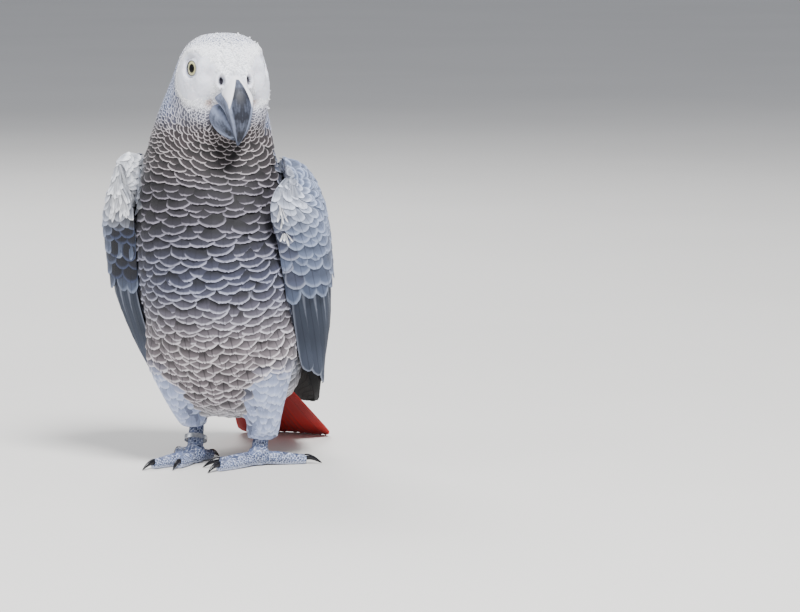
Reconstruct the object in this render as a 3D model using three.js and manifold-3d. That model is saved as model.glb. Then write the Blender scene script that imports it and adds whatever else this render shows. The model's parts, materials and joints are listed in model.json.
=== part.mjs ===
// A life-size grey parrot, standing upright and looking round to its left, for a museum case.
// Millimetres, +Z up. The bird faces -Y and is built on its own midline, x = 0, with the floor at z = 0;
// the last lines move it so that the origin lies under the middle of its box.
import * as THREE from "three";
import { mergeVertices } from "three/addons/utils/BufferGeometryUtils.js";
import Module from "manifold-3d";

const wasm = await Module();
wasm.setup();

// ---------------------------------------------------------------- driving dimensions
const GAP = 0.3; // clearance between neighbouring solids
const HEAD_TURN = THREE.MathUtils.degToRad(33); // to the bird's left
const HEAD_SIDESTEP = 3; // how far the head is carried to the bird's left
const NECK_AXIS_Y = -12; // the upright line that the head turns about

const EYE = new THREE.Vector3(18.4, -30.2, 226); // middle of the eyeball, left side, head straight
const EYE_RADIUS = 6.4;
const NOSTRIL = new THREE.Vector3(7.6, -48.6, 219.6);
const NOSTRIL_SIZE = new THREE.Vector3(2.2, 1.6, 2.3);

const CULMEN_MIDDLE = new THREE.Vector2(-40.1, 202.6); // y, z of the centre of the bill's ridge
const CULMEN_RADIUS = 21;
const CULMEN_FROM = THREE.MathUtils.degToRad(80);
const CULMEN_TO = THREE.MathUtils.degToRad(-58);

const TAIL_ROOT = new THREE.Vector3(0, 62, 49.6);
const TAIL_SLOPE = THREE.MathUtils.degToRad(33);
const TAIL_LENGTH = 90;
const TAIL_FEATHERS = 12;
const TAIL_FAN = THREE.MathUtils.degToRad(1.55); // between neighbouring feathers
const TAIL_FEATHER_WIDTH = 17;

const PRIMARIES = 4;
const SECONDARIES = 6;

const PALM_HEIGHT = 5.4;
const TOE_HEIGHT = 4.2; // middle of a toe where it leaves the foot
const TOE_TIP_HEIGHT = 2.8;
const CLAW_LENGTH = 10;

// The trunk, neck and head are one form through rings that each hold the midline of the back and of
// the front: [back y, back z, front y, front z, half width, fullness], fuller as fullness gets smaller.
const BODY = [
  [-49, 219, -36, 196, 9.5, 0.75], // bill base
  [-42.5, 233, -34.8, 192.5, 18.5, 0.66], // brow
  [-29, 244, -34, 190, 24, 0.62], // forecrown
  [-11, 243.5, -33.8, 187, 26.5, 0.66], // crown
  [2, 230, -34.5, 183, 27.5, 0.75], // occiput
  [9, 212, -37, 176, 32, 0.85], // nape
  [13.5, 195, -41, 166.5, 35.8, 0.9], // neck
  [21, 180, -45, 151, 39.5, 0.92], // neck base
  [31, 158, -47.5, 131, 43.5, 0.92], // shoulders
  [41, 134, -46.5, 108, 45.5, 0.92], // breast
  [52, 111, -41, 82, 45.5, 0.92], // middle
  [63, 90, -28, 55, 42.5, 0.94], // belly
  [73, 73, -8, 33, 37.5, 0.95], // hips
  [80, 62, 23, 24, 31, 0.95], // vent
  [87, 51, 62, 31, 23, 0.95], // tail root
];
const HEAD_END = 4.5;
const NECK_END = 7.5;
const TRUNK_END = 13;
const BODY_END = BODY.length - 1;
const RING_STEP = 0.5;
const BODY_SIDES = 24;
const CUT = 0.03; // the thin cuts between these parts, in rings
const TURN_FADES = [4, 7.8]; // the rings between which the neck twists
const NECK_LEAN = -3; // how far the neck leans to the bird's right between head and shoulders
const LEAN_SPAN = [3.2, 9.5];

// The upper bill: [lower edge y, z, half width] at equal steps round the ridge's arc.
const UPPER_BILL = [
  [-31, 210, 8.6],
  [-38, 205.6, 9.2],
  [-43, 203, 8.8],
  [-47.6, 200.2, 7.6],
  [-50.4, 195.4, 5.6],
  [-51.2, 189.6, 3],
  [-50.9, 184.3, 0.5],
];
// The lower bill: [top y, top z, bottom y, bottom z, half width].
const LOWER_BILL = [
  [-31, 212, -29, 194, 9],
  [-38, 208.5, -35.5, 191.5, 10.4],
  [-43, 205.5, -40.5, 188.8, 9.4],
  [-47.5, 201.5, -45, 187.6, 7.4],
  [-50, 196, -48.6, 187.2, 4.6],
  [-50.5, 191.5, -49.9, 188.2, 2.2],
];

// The left wing, folded, from its wrist to its tip: [front edge x, y, z, rear edge x, y, z, bulge].
const WING = [
  [47, -31, 165, 46, -20, 171, 7],
  [43.5, -35, 157, 40, -3, 175, 17.5],
  [42.4, -34, 146, 31, 17, 171.5, 22],
  [44.5, -26, 129, 25, 32, 162, 26],
  [45.8, -19, 111, 18.5, 44, 146.5, 27],
  [46.8, -12, 92, 14, 54, 128, 26],
  [47, 1, 73, 10.5, 64, 109, 22.5],
  [46.5, 15, 55, 7.5, 75, 91, 16],
  [45, 33, 39, 5, 86, 75, 10.5],
  [41, 55, 29, 3.5, 97, 61, 6],
  [33, 78, 25.5, 2.5, 107.5, 50, 4],
  [21, 100, 22.5, 2.5, 116.5, 39, 2.5],
  [10, 119, 18.5, 3.5, 125, 26, 1.2],
];
const WING_END = WING.length - 1;
const COVERTS_END = 7.4; // where the coverts' solid stops and only flight feathers go on
const WING_ROUND = 0.62; // how blunt the wing's edges are, blunter as it gets smaller
const WING_SKEW = 1.55; // how far forward the fullest line of the wing lies
const WING_HOLLOW = 0.6; // how far the wing's inner side stands off the breast at its front edge

// Legs: [side, thigh's lower end z, palm x, y, toe headings] with headings in degrees from straight
// ahead, positive to the bird's right: outer front, inner front, inner back, outer back.
const LEGS = [
  { name: "right", side: -1, hem: 20, hemRadius: 8, palm: [-18, 7], headings: [27, 4, 196, 143] },
  { name: "left", side: 1, hem: 14, hemRadius: 8.8, palm: [19.5, 8], headings: [26, 54, 200, 246] },
];
const TOES = [
  { name: "outer_front", length: 33, radius: 4.3 },
  { name: "inner_front", length: 24, radius: 4.1 },
  { name: "inner_back", length: 17, radius: 3.8 },
  { name: "outer_back", length: 27, radius: 4.1 },
];

// ---------------------------------------------------------------- materials
const finish = (colour, roughness, metalness = 0) =>
  new THREE.MeshStandardMaterial({ color: colour, roughness, metalness });
const MATERIALS = {
  face: finish(0xe4e6ea, 0.8),
  scalloped: finish(0x86868e, 0.85),
  trunk: finish(0x9a9ba4, 0.85),
  rump: finish(0xc9c8cc, 0.85),
  wing: finish(0x8a929f, 0.8),
  flight: finish(0x4c4f59, 0.7),
  tail: finish(0xb81208, 0.7),
  thigh: finish(0xb4b8c6, 0.85),
  foot: finish(0x70747e, 0.6),
  claw: finish(0x16171b, 0.3),
  bill: finish(0x3f4450, 0.4),
  eye: finish(0xd6d3a0, 0.1),
  ring: finish(0xb8babd, 0.3, 1),
};

// ---------------------------------------------------------------- tools
const UP = new THREE.Vector3(0, 0, 1);
const mix = (a, b, t) => a + (b - a) * t;
const clamp = THREE.MathUtils.clamp;
const ease = (t) => THREE.MathUtils.smoothstep(t, 0, 1);

// The row of numbers at t along a table of rows, on a smooth curve through them (Catmull-Rom).
function rowAt(table, t) {
  const last = table.length - 1;
  const i = clamp(Math.floor(t), 0, last - 1);
  const f = t - i;
  const [a, b, c, d] = [i - 1, i, i + 1, i + 2].map((k) => table[clamp(k, 0, last)]);
  return b.map(
    (q, k) =>
      q +
      0.5 * f * (c[k] - a[k] + f * (2 * a[k] - 5 * q + 4 * c[k] - d[k] + f * (3 * (q - c[k]) + d[k] - a[k]))),
  );
}

// A closed geometry as a manifold solid, facing out.
function solidOf(geometry) {
  geometry.deleteAttribute("normal");
  geometry.deleteAttribute("uv");
  const closed = mergeVertices(geometry, 1e-5);
  return manifoldOf(closed.getAttribute("position").array, closed.index.array);
}

function manifoldOf(places, corners) {
  const make = (order) =>
    new wasm.Manifold(new wasm.Mesh({ numProp: 3, vertProperties: places, triVerts: order }));
  const made = make(new Uint32Array(corners));
  return made.volume() > 0 ? made : make(new Uint32Array(corners).reverse());
}

// A cylinder bent into any tapering form. place(t, angle, reach) gives the point at t from 0 to 1 along
// it, at an angle round it, and at reach 1 on its side or 0 on its middle line.
function bent(around, steps, place) {
  const cylinder = new THREE.CylinderGeometry(1, 1, 1, around, steps);
  cylinder.deleteAttribute("normal");
  cylinder.deleteAttribute("uv");
  const closed = mergeVertices(cylinder, 1e-5);
  const at = closed.getAttribute("position");
  for (let i = 0; i < at.count; i++) {
    const angle = Math.atan2(at.getX(i), at.getZ(i));
    const point = place(0.5 - at.getY(i), angle, Math.hypot(at.getX(i), at.getZ(i)));
    at.setXYZ(i, point.x, point.y, point.z);
  }
  return manifoldOf(at.array, closed.index.array);
}

// The largest of the bodies that a cut leaves.
function largest(solid) {
  return solid.decompose().sort((a, b) => b.volume() - a.volume())[0];
}

const joined = (solids) => solids.reduce((sum, next) => sum.add(next));

// A sphere squeezed to these half sizes and moved to a place.
function ellipsoid(middle, size, around = 12, up = 8) {
  const sphere = new THREE.SphereGeometry(1, around, up);
  sphere.scale(size.x, size.y, size.z);
  sphere.translate(middle.x, middle.y, middle.z);
  return solidOf(sphere);
}

// Carries a point of the straight head to where the turned head has it. The share falls to nothing
// down the neck.
function turned(point, share = 1) {
  const axis = new THREE.Vector3(0, NECK_AXIS_Y, 0);
  const round = point.sub(axis).applyAxisAngle(UP, HEAD_TURN * share).add(axis);
  return round.setX(round.x + HEAD_SIDESTEP * share);
}

const onSide = (point, side) => new THREE.Vector3(point.x * side, point.y, point.z);

// ---------------------------------------------------------------- head, neck and trunk
function bodyPoint(t, angle, reach = 1, grow = 0) {
  const [backY, backZ, frontY, frontZ, half, fullness] = rowAt(BODY, t);
  const long = Math.hypot(backY - frontY, backZ - frontZ) / 2;
  const stretch = (1 + grow / long) * Math.cos(angle) * reach;
  const across = Math.abs(Math.sin(angle)) ** fullness * Math.sign(Math.sin(angle));
  const point = new THREE.Vector3(
    (half + grow) * across * reach,
    (backY + frontY) / 2 + ((backY - frontY) / 2) * stretch,
    (backZ + frontZ) / 2 + ((backZ - frontZ) / 2) * stretch,
  );
  const twist = 1 - ease((t - TURN_FADES[0]) / (TURN_FADES[1] - TURN_FADES[0]));
  const lean = Math.sin(Math.PI * clamp((t - LEAN_SPAN[0]) / (LEAN_SPAN[1] - LEAN_SPAN[0]), 0, 1));
  const placed = turned(point, twist);
  return placed.setX(placed.x + NECK_LEAN * lean);
}

// A length of the body with its rings at the same places whichever length it is.
function bodyPart(from, to, { cut = 0, grow = 0 } = {}) {
  const steps = Math.round((to - from) / RING_STEP);
  return bent(BODY_SIDES, steps, (t, angle, reach) => {
    const start = t < 0.5 / steps ? cut : 0;
    return bodyPoint(mix(from, to, t) + start, angle, reach, grow);
  });
}

function makeHead(eyes) {
  const nostrils = [-1, 1].map((side) => {
    const middle = turned(onSide(NOSTRIL, side));
    return ellipsoid(middle, NOSTRIL_SIZE, 8, 6);
  });
  const sockets = eyes.map((eye) => ellipsoid(eye, eyeSize(GAP), 10, 6));
  return largest(bodyPart(0, HEAD_END).subtract(joined([...sockets, ...nostrils])));
}

const eyeSize = (grow) => new THREE.Vector3(1, 1, 1).multiplyScalar(EYE_RADIUS + grow);
const eyeMiddle = (side) => turned(onSide(EYE, side));

// ---------------------------------------------------------------- bill
function upperBillPoint(t, angle, reach, grow) {
  const round = mix(CULMEN_FROM, CULMEN_TO, t);
  const [lowY, lowZ, half] = rowAt(UPPER_BILL, t * (UPPER_BILL.length - 1));
  const topY = CULMEN_MIDDLE.x - CULMEN_RADIUS * Math.cos(round);
  const topZ = CULMEN_MIDDLE.y + CULMEN_RADIUS * Math.sin(round);
  return billPoint(topY, topZ, lowY, lowZ, half, 0.85, angle, reach, grow);
}

function lowerBillPoint(t, angle, reach, grow) {
  const [topY, topZ, lowY, lowZ, half] = rowAt(LOWER_BILL, t * (LOWER_BILL.length - 1));
  return billPoint(topY, topZ, lowY, lowZ, half, 0.7, angle, reach, grow);
}

function billPoint(topY, topZ, lowY, lowZ, half, fullness, angle, reach, grow) {
  const long = Math.hypot(topY - lowY, topZ - lowZ) / 2;
  const stretch = (1 + grow / Math.max(long, 1)) * Math.cos(angle) * reach;
  const across = Math.abs(Math.sin(angle)) ** fullness * Math.sign(Math.sin(angle));
  const point = new THREE.Vector3(
    (half + grow) * across * reach,
    (topY + lowY) / 2 + ((topY - lowY) / 2) * stretch,
    (topZ + lowZ) / 2 + ((topZ - lowZ) / 2) * stretch,
  );
  return turned(point);
}

function makeBill(head) {
  const shape = (pointAt, steps, grow) =>
    bent(12, steps, (t, angle, reach) => pointAt(t, angle, reach, grow));
  const upper = shape(upperBillPoint, 10, 0).subtract(head);
  const lower = shape(lowerBillPoint, 6, 0).subtract(head).subtract(shape(upperBillPoint, 10, GAP));
  return { upper: largest(upper), lower: largest(lower) };
}

// ---------------------------------------------------------------- wings
// A place on a wing: across runs from 0 at the front edge to 1 at the rear edge, and rise is how far
// it stands off the straight line between them.
function wingFrame(s) {
  const ends = (row) => [new THREE.Vector3(...row.slice(0, 3)), new THREE.Vector3(...row.slice(3, 6))];
  const row = rowAt(WING, s);
  const [front, rear] = ends(row);
  const [frontLater, rearLater] = ends(rowAt(WING, Math.min(s + 0.25, WING_END)));
  const [frontSooner, rearSooner] = ends(rowAt(WING, Math.max(s - 0.25, 0)));
  const lengthways = frontLater.add(rearLater).sub(frontSooner).sub(rearSooner);
  const out = lengthways.cross(rear.clone().sub(front)).normalize();
  return { front, rear, out, bulge: row[6] };
}

function wingPlace(frame, across, rise) {
  return frame.front.clone().lerp(frame.rear, across).addScaledVector(frame.out, rise);
}

function wingSurface(s, across, lift) {
  const frame = wingFrame(s);
  const angle = Math.acos(clamp(1 - 2 * across ** (1 / WING_SKEW), -1, 1));
  return wingPlace(frame, across, frame.bulge * Math.sin(angle) ** WING_ROUND + lift);
}

// A section across the folded wing, as [across, rise] in millimetres.
function wingSection(angle, width, bulge) {
  const across = ((1 - Math.cos(angle)) / 2) ** WING_SKEW;
  const round = Math.abs(Math.sin(angle)) ** WING_ROUND;
  const stand = Math.sin(angle) >= 0 ? 1 : WING_HOLLOW * (1 - across);
  return new THREE.Vector2(across * width, bulge * round * stand);
}

function wingPoint(t, angle, reach, grow) {
  const frame = wingFrame(t * (COVERTS_END + 0.08 * grow));
  const width = frame.front.distanceTo(frame.rear);
  const section = (turn) => wingSection(turn, width, frame.bulge);
  const along = section(angle + 0.01).sub(section(angle - 0.01)).normalize();
  const spot = section(angle).add(new THREE.Vector2(-along.y, along.x).multiplyScalar(grow));
  const middle = wingPlace(frame, 0.5, frame.bulge / 2);
  return middle.lerp(wingPlace(frame, spot.x / width, spot.y), reach);
}

// A flight feather laid on the wing, from one place along it to another, about a line across it.
function wingBlade({ from, to, across, half, lift, thick }, grow = 0) {
  return bent(4, 3, (t, angle, reach) => {
    const s = mix(from, to, t);
    const round = Math.sqrt(Math.max(1 - Math.max(t - 0.8, 0) ** 2 * 22, 0.02));
    const sideways = Math.sin(angle) * (half * round + 0.02 * grow) * reach;
    const up = Math.cos(angle) * (thick / 2 + grow) * reach;
    return wingSurface(s, clamp(mix(across[0], across[1], t) + sideways, 0.01, 0.99), lift + up);
  });
}

// Flight feathers lie like slates: the innermost one is on top and shortest.
function secondaries(grow = 0) {
  return Array.from({ length: SECONDARIES }, (_, k) => {
    const place = k / (SECONDARIES - 1);
    const feather = {
      from: COVERTS_END - 0.9,
      to: mix(10.6, 8.7, place),
      across: [mix(0.9, 0.16, place), mix(0.72, 0.14, place)],
      half: 0.13,
      lift: mix(-0.9, -1.6, place),
      thick: 2.2,
    };
    return wingBlade(feather, grow);
  });
}

function primaries() {
  return Array.from({ length: PRIMARIES }, (_, k) => {
    const place = k / (PRIMARIES - 1);
    return wingBlade({
      from: COVERTS_END - 0.6,
      to: mix(WING_END, 10.4, place ** 1.4),
      across: [mix(0.5, 0.1, place), mix(0.5, 0.16, place)],
      half: 0.2,
      lift: mix(-2.4, -3.4, place),
      thick: 2.2,
    });
  });
}

function makeWing(side, around) {
  const shape = (grow) => bent(14, 10, (t, angle, reach) => wingPoint(t, angle, reach, grow));
  const mirror = (solid) => (side > 0 ? solid : solid.scale([-1, 1, 1]));
  const cut = (solid, ...others) => largest(others.reduce((left, other) => left.subtract(other), solid));
  const coverts = mirror(shape(0));
  const grown = mirror(shape(4 * GAP));
  const upper = mirror(joined(secondaries()));
  const upperGrown = mirror(joined(secondaries(GAP)));
  const lower = mirror(joined(primaries()));
  return {
    coverts: cut(coverts, around),
    secondaries: cut(upper, around, grown),
    primaries: cut(lower, around, grown, upperGrown),
  };
}

// ---------------------------------------------------------------- tail
function tailFeather(place, grow = 0) {
  // place runs from -1 at the bird's right to 1 at its left
  const count = (TAIL_FEATHERS - 1) / 2;
  const yaw = place * count * TAIL_FAN;
  const along = new THREE.Vector3(Math.sin(yaw), Math.cos(yaw) * Math.cos(TAIL_SLOPE), -Math.sin(TAIL_SLOPE));
  const up = new THREE.Vector3(place * 0.12, Math.sin(TAIL_SLOPE), Math.cos(TAIL_SLOPE)).normalize();
  const sideways = along.clone().cross(up).normalize();
  const root = TAIL_ROOT.clone().add(new THREE.Vector3(place * 9, 0, 0));
  root.addScaledVector(up, -3.2 * Math.abs(place));
  const length = TAIL_LENGTH - 4 * place * place;
  return bent(4, 3, (t, angle, reach) => {
    const tip = Math.sqrt(Math.max(1 - Math.max(t - 0.86, 0) ** 2 * 40, 0.04));
    const width = (mix(0.45, 1, ease(t * 2)) * tip * TAIL_FEATHER_WIDTH) / 2 + grow;
    const thick = mix(1.5, 0.6, t) + grow;
    return root
      .clone()
      .addScaledVector(along, length * t)
      .addScaledVector(up, Math.cos(angle) * thick * reach - 4 * t * t * (1 - t))
      .addScaledVector(sideways, Math.sin(angle) * width * reach);
  });
}

function makeTail(grow = 0) {
  const feathers = Array.from({ length: TAIL_FEATHERS }, (_, k) =>
    tailFeather((2 * k) / (TAIL_FEATHERS - 1) - 1, grow),
  );
  return joined(feathers);
}

// ---------------------------------------------------------------- legs and feet
const heel = (leg) => new THREE.Vector3(leg.side * 19.5, 17, 25);
const palm = (leg) => new THREE.Vector3(...leg.palm, PALM_HEIGHT);

function tube(path, radii, around, steps, grow = 0) {
  // path(t) is the middle line, radii(t) is [sideways, fore and aft]
  return bent(around, steps, (t, angle, reach) => {
    const [wide, deep] = radii(t);
    const middle = path(t);
    middle.x += Math.sin(angle) * (wide + grow) * reach;
    middle.y += Math.cos(angle) * (deep + grow) * reach;
    return middle;
  });
}

function makeThigh(leg, body, foot) {
  const line = new THREE.CatmullRomCurve3([
    new THREE.Vector3(leg.side * 27, 2, 82),
    new THREE.Vector3(leg.side * 28, -1, 58),
    new THREE.Vector3(leg.side * 24.5, 5, 38),
    new THREE.Vector3(leg.side * 20, 13.5, leg.hem),
  ]);
  const radii = (t) => [mix(17, leg.hemRadius, t), mix(23, leg.hemRadius + 0.6, t)];
  return largest(tube((t) => line.getPoint(t), radii, 14, 5).subtract(body).subtract(foot));
}

function makeFoot(leg, grow = 0) {
  const top = heel(leg);
  const bottom = palm(leg);
  const shank = tube(
    (t) => top.clone().lerp(bottom, t),
    (t) => [mix(4, 4.8, t), mix(4.4, 4.6, t)],
    8,
    2,
    grow,
  );
  const size = new THREE.Vector3(6.6 + grow, 6.8 + grow, 6 + grow);
  return shank.add(ellipsoid(bottom, size, 10, 6)).trimByPlane([0, 0, 1], 0);
}

function toeLine(leg, toe, index) {
  const heading = THREE.MathUtils.degToRad(leg.headings[index]);
  const ahead = new THREE.Vector3(-Math.sin(heading), -Math.cos(heading), 0);
  const from = palm(leg);
  const height = (t) => mix(TOE_HEIGHT, TOE_TIP_HEIGHT, ease(t)) + 0.35 * Math.sin(t * Math.PI * 5);
  return { ahead, point: (t) => from.clone().addScaledVector(ahead, toe.length * t).setZ(height(t)) };
}

function makeToe(leg, toe, index, grow = 0) {
  const line = toeLine(leg, toe, index);
  const sideways = line.ahead.clone().cross(UP);
  const shape = bent(8, 5, (t, angle, reach) => {
    const pads = 1 + 0.07 * Math.cos(t * Math.PI * 6);
    const round = t > 0.93 ? 0.82 : 1;
    const radius = mix(toe.radius, toe.radius * 0.76, t) * pads * round + grow;
    return line
      .point(t)
      .addScaledVector(sideways, Math.sin(angle) * radius * reach)
      .addScaledVector(UP, Math.cos(angle) * radius * reach);
  });
  return shape.trimByPlane([0, 0, 1], 0);
}

function makeClaw(leg, toe, index) {
  const line = toeLine(leg, toe, index);
  const sideways = line.ahead.clone().cross(UP);
  const base = line.point(0.93).setZ(TOE_TIP_HEIGHT + 0.4);
  const length = CLAW_LENGTH * (toe.length > 20 ? 1 : 0.85) + 2;
  return bent(5, 3, (t, angle, reach) => {
    const bend = t * 1.25;
    const ahead = (length * Math.sin(bend)) / Math.sin(1.25);
    const drop = mix(0, TOE_TIP_HEIGHT - 0.1, t ** 2.2) - 1.3 * Math.sin(t * Math.PI);
    const radius = mix(2, 0.25, t ** 0.9);
    return base
      .clone()
      .addScaledVector(line.ahead, ahead * 0.9 + Math.cos(angle) * radius * reach * Math.sin(bend) * 0.6)
      .addScaledVector(sideways, Math.sin(angle) * radius * reach * 0.8)
      .addScaledVector(UP, -drop + Math.cos(angle) * radius * reach);
  }).trimByPlane([0, 0, 1], 0);
}

// A closed metal band, loose round the right shank and resting on the foot.
function makeLegRing(leg) {
  const [inner, outer, tall] = [5.7, 6.5, 2.6];
  const profile = [
    [inner, 0],
    [outer, 0],
    [outer, tall],
    [inner, tall],
    [inner, 0],
  ].map(([r, h]) => new THREE.Vector2(r, h));
  const band = new THREE.LatheGeometry(profile, 18);
  const shank = heel(leg).sub(palm(leg)).normalize();
  const at = palm(leg).addScaledVector(shank, 7.6);
  band.applyQuaternion(new THREE.Quaternion().setFromUnitVectors(new THREE.Vector3(0, 1, 0), shank));
  band.translate(at.x, at.y, at.z);
  return solidOf(band);
}

// ---------------------------------------------------------------- the whole bird
const bird = new THREE.Group();

function add(name, solid, material) {
  const { vertProperties, numProp, triVerts } = solid.getMesh();
  const places = new Float32Array(solid.numVert() * 3);
  for (let i = 0; i < solid.numVert(); i++) {
    places.set(vertProperties.subarray(i * numProp, i * numProp + 3), i * 3);
  }
  const geometry = new THREE.BufferGeometry();
  geometry.setAttribute("position", new THREE.BufferAttribute(places, 3));
  geometry.setIndex(new THREE.BufferAttribute(triVerts, 1));
  geometry.computeVertexNormals();
  const mesh = new THREE.Mesh(geometry, material);
  mesh.name = name;
  bird.add(mesh);
}

const eyes = [-1, 1].map(eyeMiddle);
add("head", makeHead(eyes), MATERIALS.face);
add("neck", bodyPart(HEAD_END, NECK_END, { cut: CUT }), MATERIALS.scalloped);
add("trunk", bodyPart(NECK_END, TRUNK_END, { cut: CUT }), MATERIALS.trunk);
add("rump", bodyPart(TRUNK_END, BODY_END, { cut: CUT }), MATERIALS.rump);
add("eye_right", ellipsoid(eyes[0], eyeSize(0), 10, 6), MATERIALS.eye);
add("eye_left", ellipsoid(eyes[1], eyeSize(0), 10, 6), MATERIALS.eye);

const headGrown = bodyPart(0, HEAD_END, { grow: GAP });
const ahead = turned(new THREE.Vector3(0, -2 * GAP, 0)).sub(turned(new THREE.Vector3()));
const bill = makeBill(headGrown.add(headGrown.translate(ahead.toArray())));
add("upper_bill", bill.upper, MATERIALS.bill);
add("lower_bill", bill.lower, MATERIALS.bill);

const bodyGrown = bodyPart(HEAD_END, BODY_END, { grow: GAP });
const bodyAround = bodyGrown.add(bodyGrown.translate([0, GAP, -GAP]));
const tailAround = makeTail(GAP);
add("tail", largest(makeTail().subtract(bodyAround).trimByPlane([0, 0, 1], 0)), MATERIALS.tail);

for (const [name, side] of [
  ["right", -1],
  ["left", 1],
]) {
  const wing = makeWing(side, bodyAround.add(tailAround));
  add(`wing_${name}`, wing.coverts, MATERIALS.wing);
  add(`secondaries_${name}`, wing.secondaries, MATERIALS.wing);
  add(`primaries_${name}`, wing.primaries, MATERIALS.flight);
}

for (const leg of LEGS) {
  const foot = makeFoot(leg);
  const footAround = makeFoot(leg, GAP);
  add(`thigh_${leg.name}`, makeThigh(leg, bodyAround, footAround), MATERIALS.thigh);
  add(`foot_${leg.name}`, foot, MATERIALS.foot);
  const outerToes = makeToe(leg, TOES[0], 0, GAP).add(makeToe(leg, TOES[3], 3, GAP));
  TOES.forEach((toe, index) => {
    const around = toe.name.startsWith("inner") ? footAround.add(outerToes) : footAround;
    const shape = largest(makeToe(leg, toe, index).subtract(around));
    add(`toe_${toe.name}_${leg.name}`, shape, MATERIALS.foot);
    const claw = makeClaw(leg, toe, index).subtract(makeToe(leg, toe, index, GAP));
    add(`claw_${toe.name}_${leg.name}`, largest(claw), MATERIALS.claw);
  });
}
add("leg_ring", makeLegRing(LEGS[0]), MATERIALS.ring);

const box = new THREE.Box3().setFromObject(bird);
const middle = box.getCenter(new THREE.Vector3());
bird.position.set(-middle.x, -middle.y, -box.min.z);

export default bird;
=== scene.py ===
"""A life-size grey parrot: skin, plumage, bill, eyes, feet and leg ring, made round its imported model."""

import itertools
import json
import math

import bmesh
import bpy
import numpy as np
from mathutils import Matrix, Vector, noise
from mathutils.bvhtree import BVHTree
from mathutils.kdtree import KDTree


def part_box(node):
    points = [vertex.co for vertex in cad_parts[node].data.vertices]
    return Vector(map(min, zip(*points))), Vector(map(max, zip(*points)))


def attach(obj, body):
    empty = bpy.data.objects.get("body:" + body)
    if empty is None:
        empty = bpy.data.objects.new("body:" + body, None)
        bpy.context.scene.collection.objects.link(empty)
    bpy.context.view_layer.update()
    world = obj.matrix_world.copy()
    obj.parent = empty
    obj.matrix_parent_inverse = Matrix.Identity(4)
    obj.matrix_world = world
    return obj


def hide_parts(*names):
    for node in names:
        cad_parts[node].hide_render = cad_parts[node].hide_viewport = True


bl_info = {
    "name": "Grey Parrot Dresser",
    "version": (1, 0, 0),
    "blender": (4, 5, 0),
    "location": "3D View > Sidebar > Parrot",
    "description": "Makes the skin, feathers, bill, eyes and feet of a life-size grey parrot",
    "category": "Object",
}

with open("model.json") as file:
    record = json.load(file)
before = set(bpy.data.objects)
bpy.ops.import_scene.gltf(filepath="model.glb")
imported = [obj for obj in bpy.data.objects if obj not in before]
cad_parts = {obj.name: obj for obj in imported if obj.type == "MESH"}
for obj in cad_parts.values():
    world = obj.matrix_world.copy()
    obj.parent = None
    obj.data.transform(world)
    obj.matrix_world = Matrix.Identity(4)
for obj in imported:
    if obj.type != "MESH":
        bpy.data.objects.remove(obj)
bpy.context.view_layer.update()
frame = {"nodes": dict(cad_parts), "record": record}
MM = 0.001
SIDES = {"right": -1, "left": 1}
FLESH = ["head", "neck", "trunk", "rump", "thigh_right", "thigh_left"]
TOES = ["outer_front", "inner_front", "inner_back", "outer_back"]


# ---------------------------------------------------------------- where things are
def middle(node):
    low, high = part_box(node)
    return (low + high) / 2


def srgb(red, green, blue):
    """Linear colour from the usual 0 to 255 values."""
    def one(value):
        value /= 255
        return value / 12.92 if value <= 0.04045 else ((value + 0.055) / 1.055) ** 2.4
    return (one(red), one(green), one(blue))


EYES = {side: middle(f"eye_{side}") for side in SIDES}
EYES_INSET = 2.2  # how much deeper than their solids the eyeballs are set, in millimetres
EYE_LINE = (EYES["left"] + EYES["right"]) / 2
EYE_RADIUS = (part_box("eye_left")[1].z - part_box("eye_left")[0].z) / 2
HEAD_LEFT = (EYES["left"] - EYES["right"]).normalized()
HEAD_UP = Vector((0, 0, 1))
HEAD_AHEAD = HEAD_LEFT.cross(HEAD_UP).normalized()
EYES = {side: EYES[side] - HEAD_LEFT * (sign * EYES_INSET * MM) for side, sign in SIDES.items()}
SOLE_BEHIND = 8  # the left sole's mount lies this far behind the line that the bird is laid out from
LINE_Y = frame["record"]["mounts"][0]["pos_m"][1] - SOLE_BEHIND * MM


def place(x, y, z):
    """A point in the bird's own layout, in millimetres: to its left, behind the layout line, up."""
    return Vector((x * MM, y * MM + LINE_Y, z * MM))


def head_place(left, ahead, up):
    """A point in the head's own frame, in millimetres from the middle of the line between the eyes."""
    return EYE_LINE + (HEAD_LEFT * left + HEAD_AHEAD * ahead + HEAD_UP * up) * MM


BILL_BASE = head_place(0, 12, -18)
# The middle line through head, neck, trunk and rump.
SPINE = np.array([place(*spot) for spot in [
    (8.7, -20.7, 215), (5.3, -15.5, 206.5), (1, -13.8, 194), (-1, -13.7, 180.7), (-2.5, -12, 165.5),
    (-2, -8.2, 144.5), (-0.6, -2.7, 121), (0, 5.5, 96.5), (0, 17.5, 72.5), (0, 32.5, 53), (0, 51.5, 43),
    (0, 74.5, 41),
]])
GAPE = (11, 10, -19.5)  # the corner of the mouth, on the left side, in the head's frame
# Each thigh's middle line, on the left side, with its radius last.
THIGH = [(27, 2, 82, 19), (28, -1, 58, 17), (24.5, 5, 38, 13), (20, 13.5, 17, 8.5)]


def smooth(low, high, value):
    """0 below low, 1 above high, and an even ease between, on numbers or arrays."""
    t = np.clip((value - low) / (high - low), 0, 1)
    return t * t * (3 - 2 * t)


def mix(first, second, share):
    """From first at a share of 0 to second at a share of 1."""
    return first * (1 - share) + second * share


def turns(count):
    """Angles evenly round a circle."""
    return [2 * math.pi * k / count for k in range(count)]


def on_axis(offsets, axis):
    """How far along an axis each offset reaches, and how far from it."""
    along = offsets @ axis
    return along, np.linalg.norm(offsets - along[:, None] * axis, axis=1)


def unit(vectors):
    return vectors / np.maximum(np.linalg.norm(vectors, axis=-1, keepdims=True), 1e-9)


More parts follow.
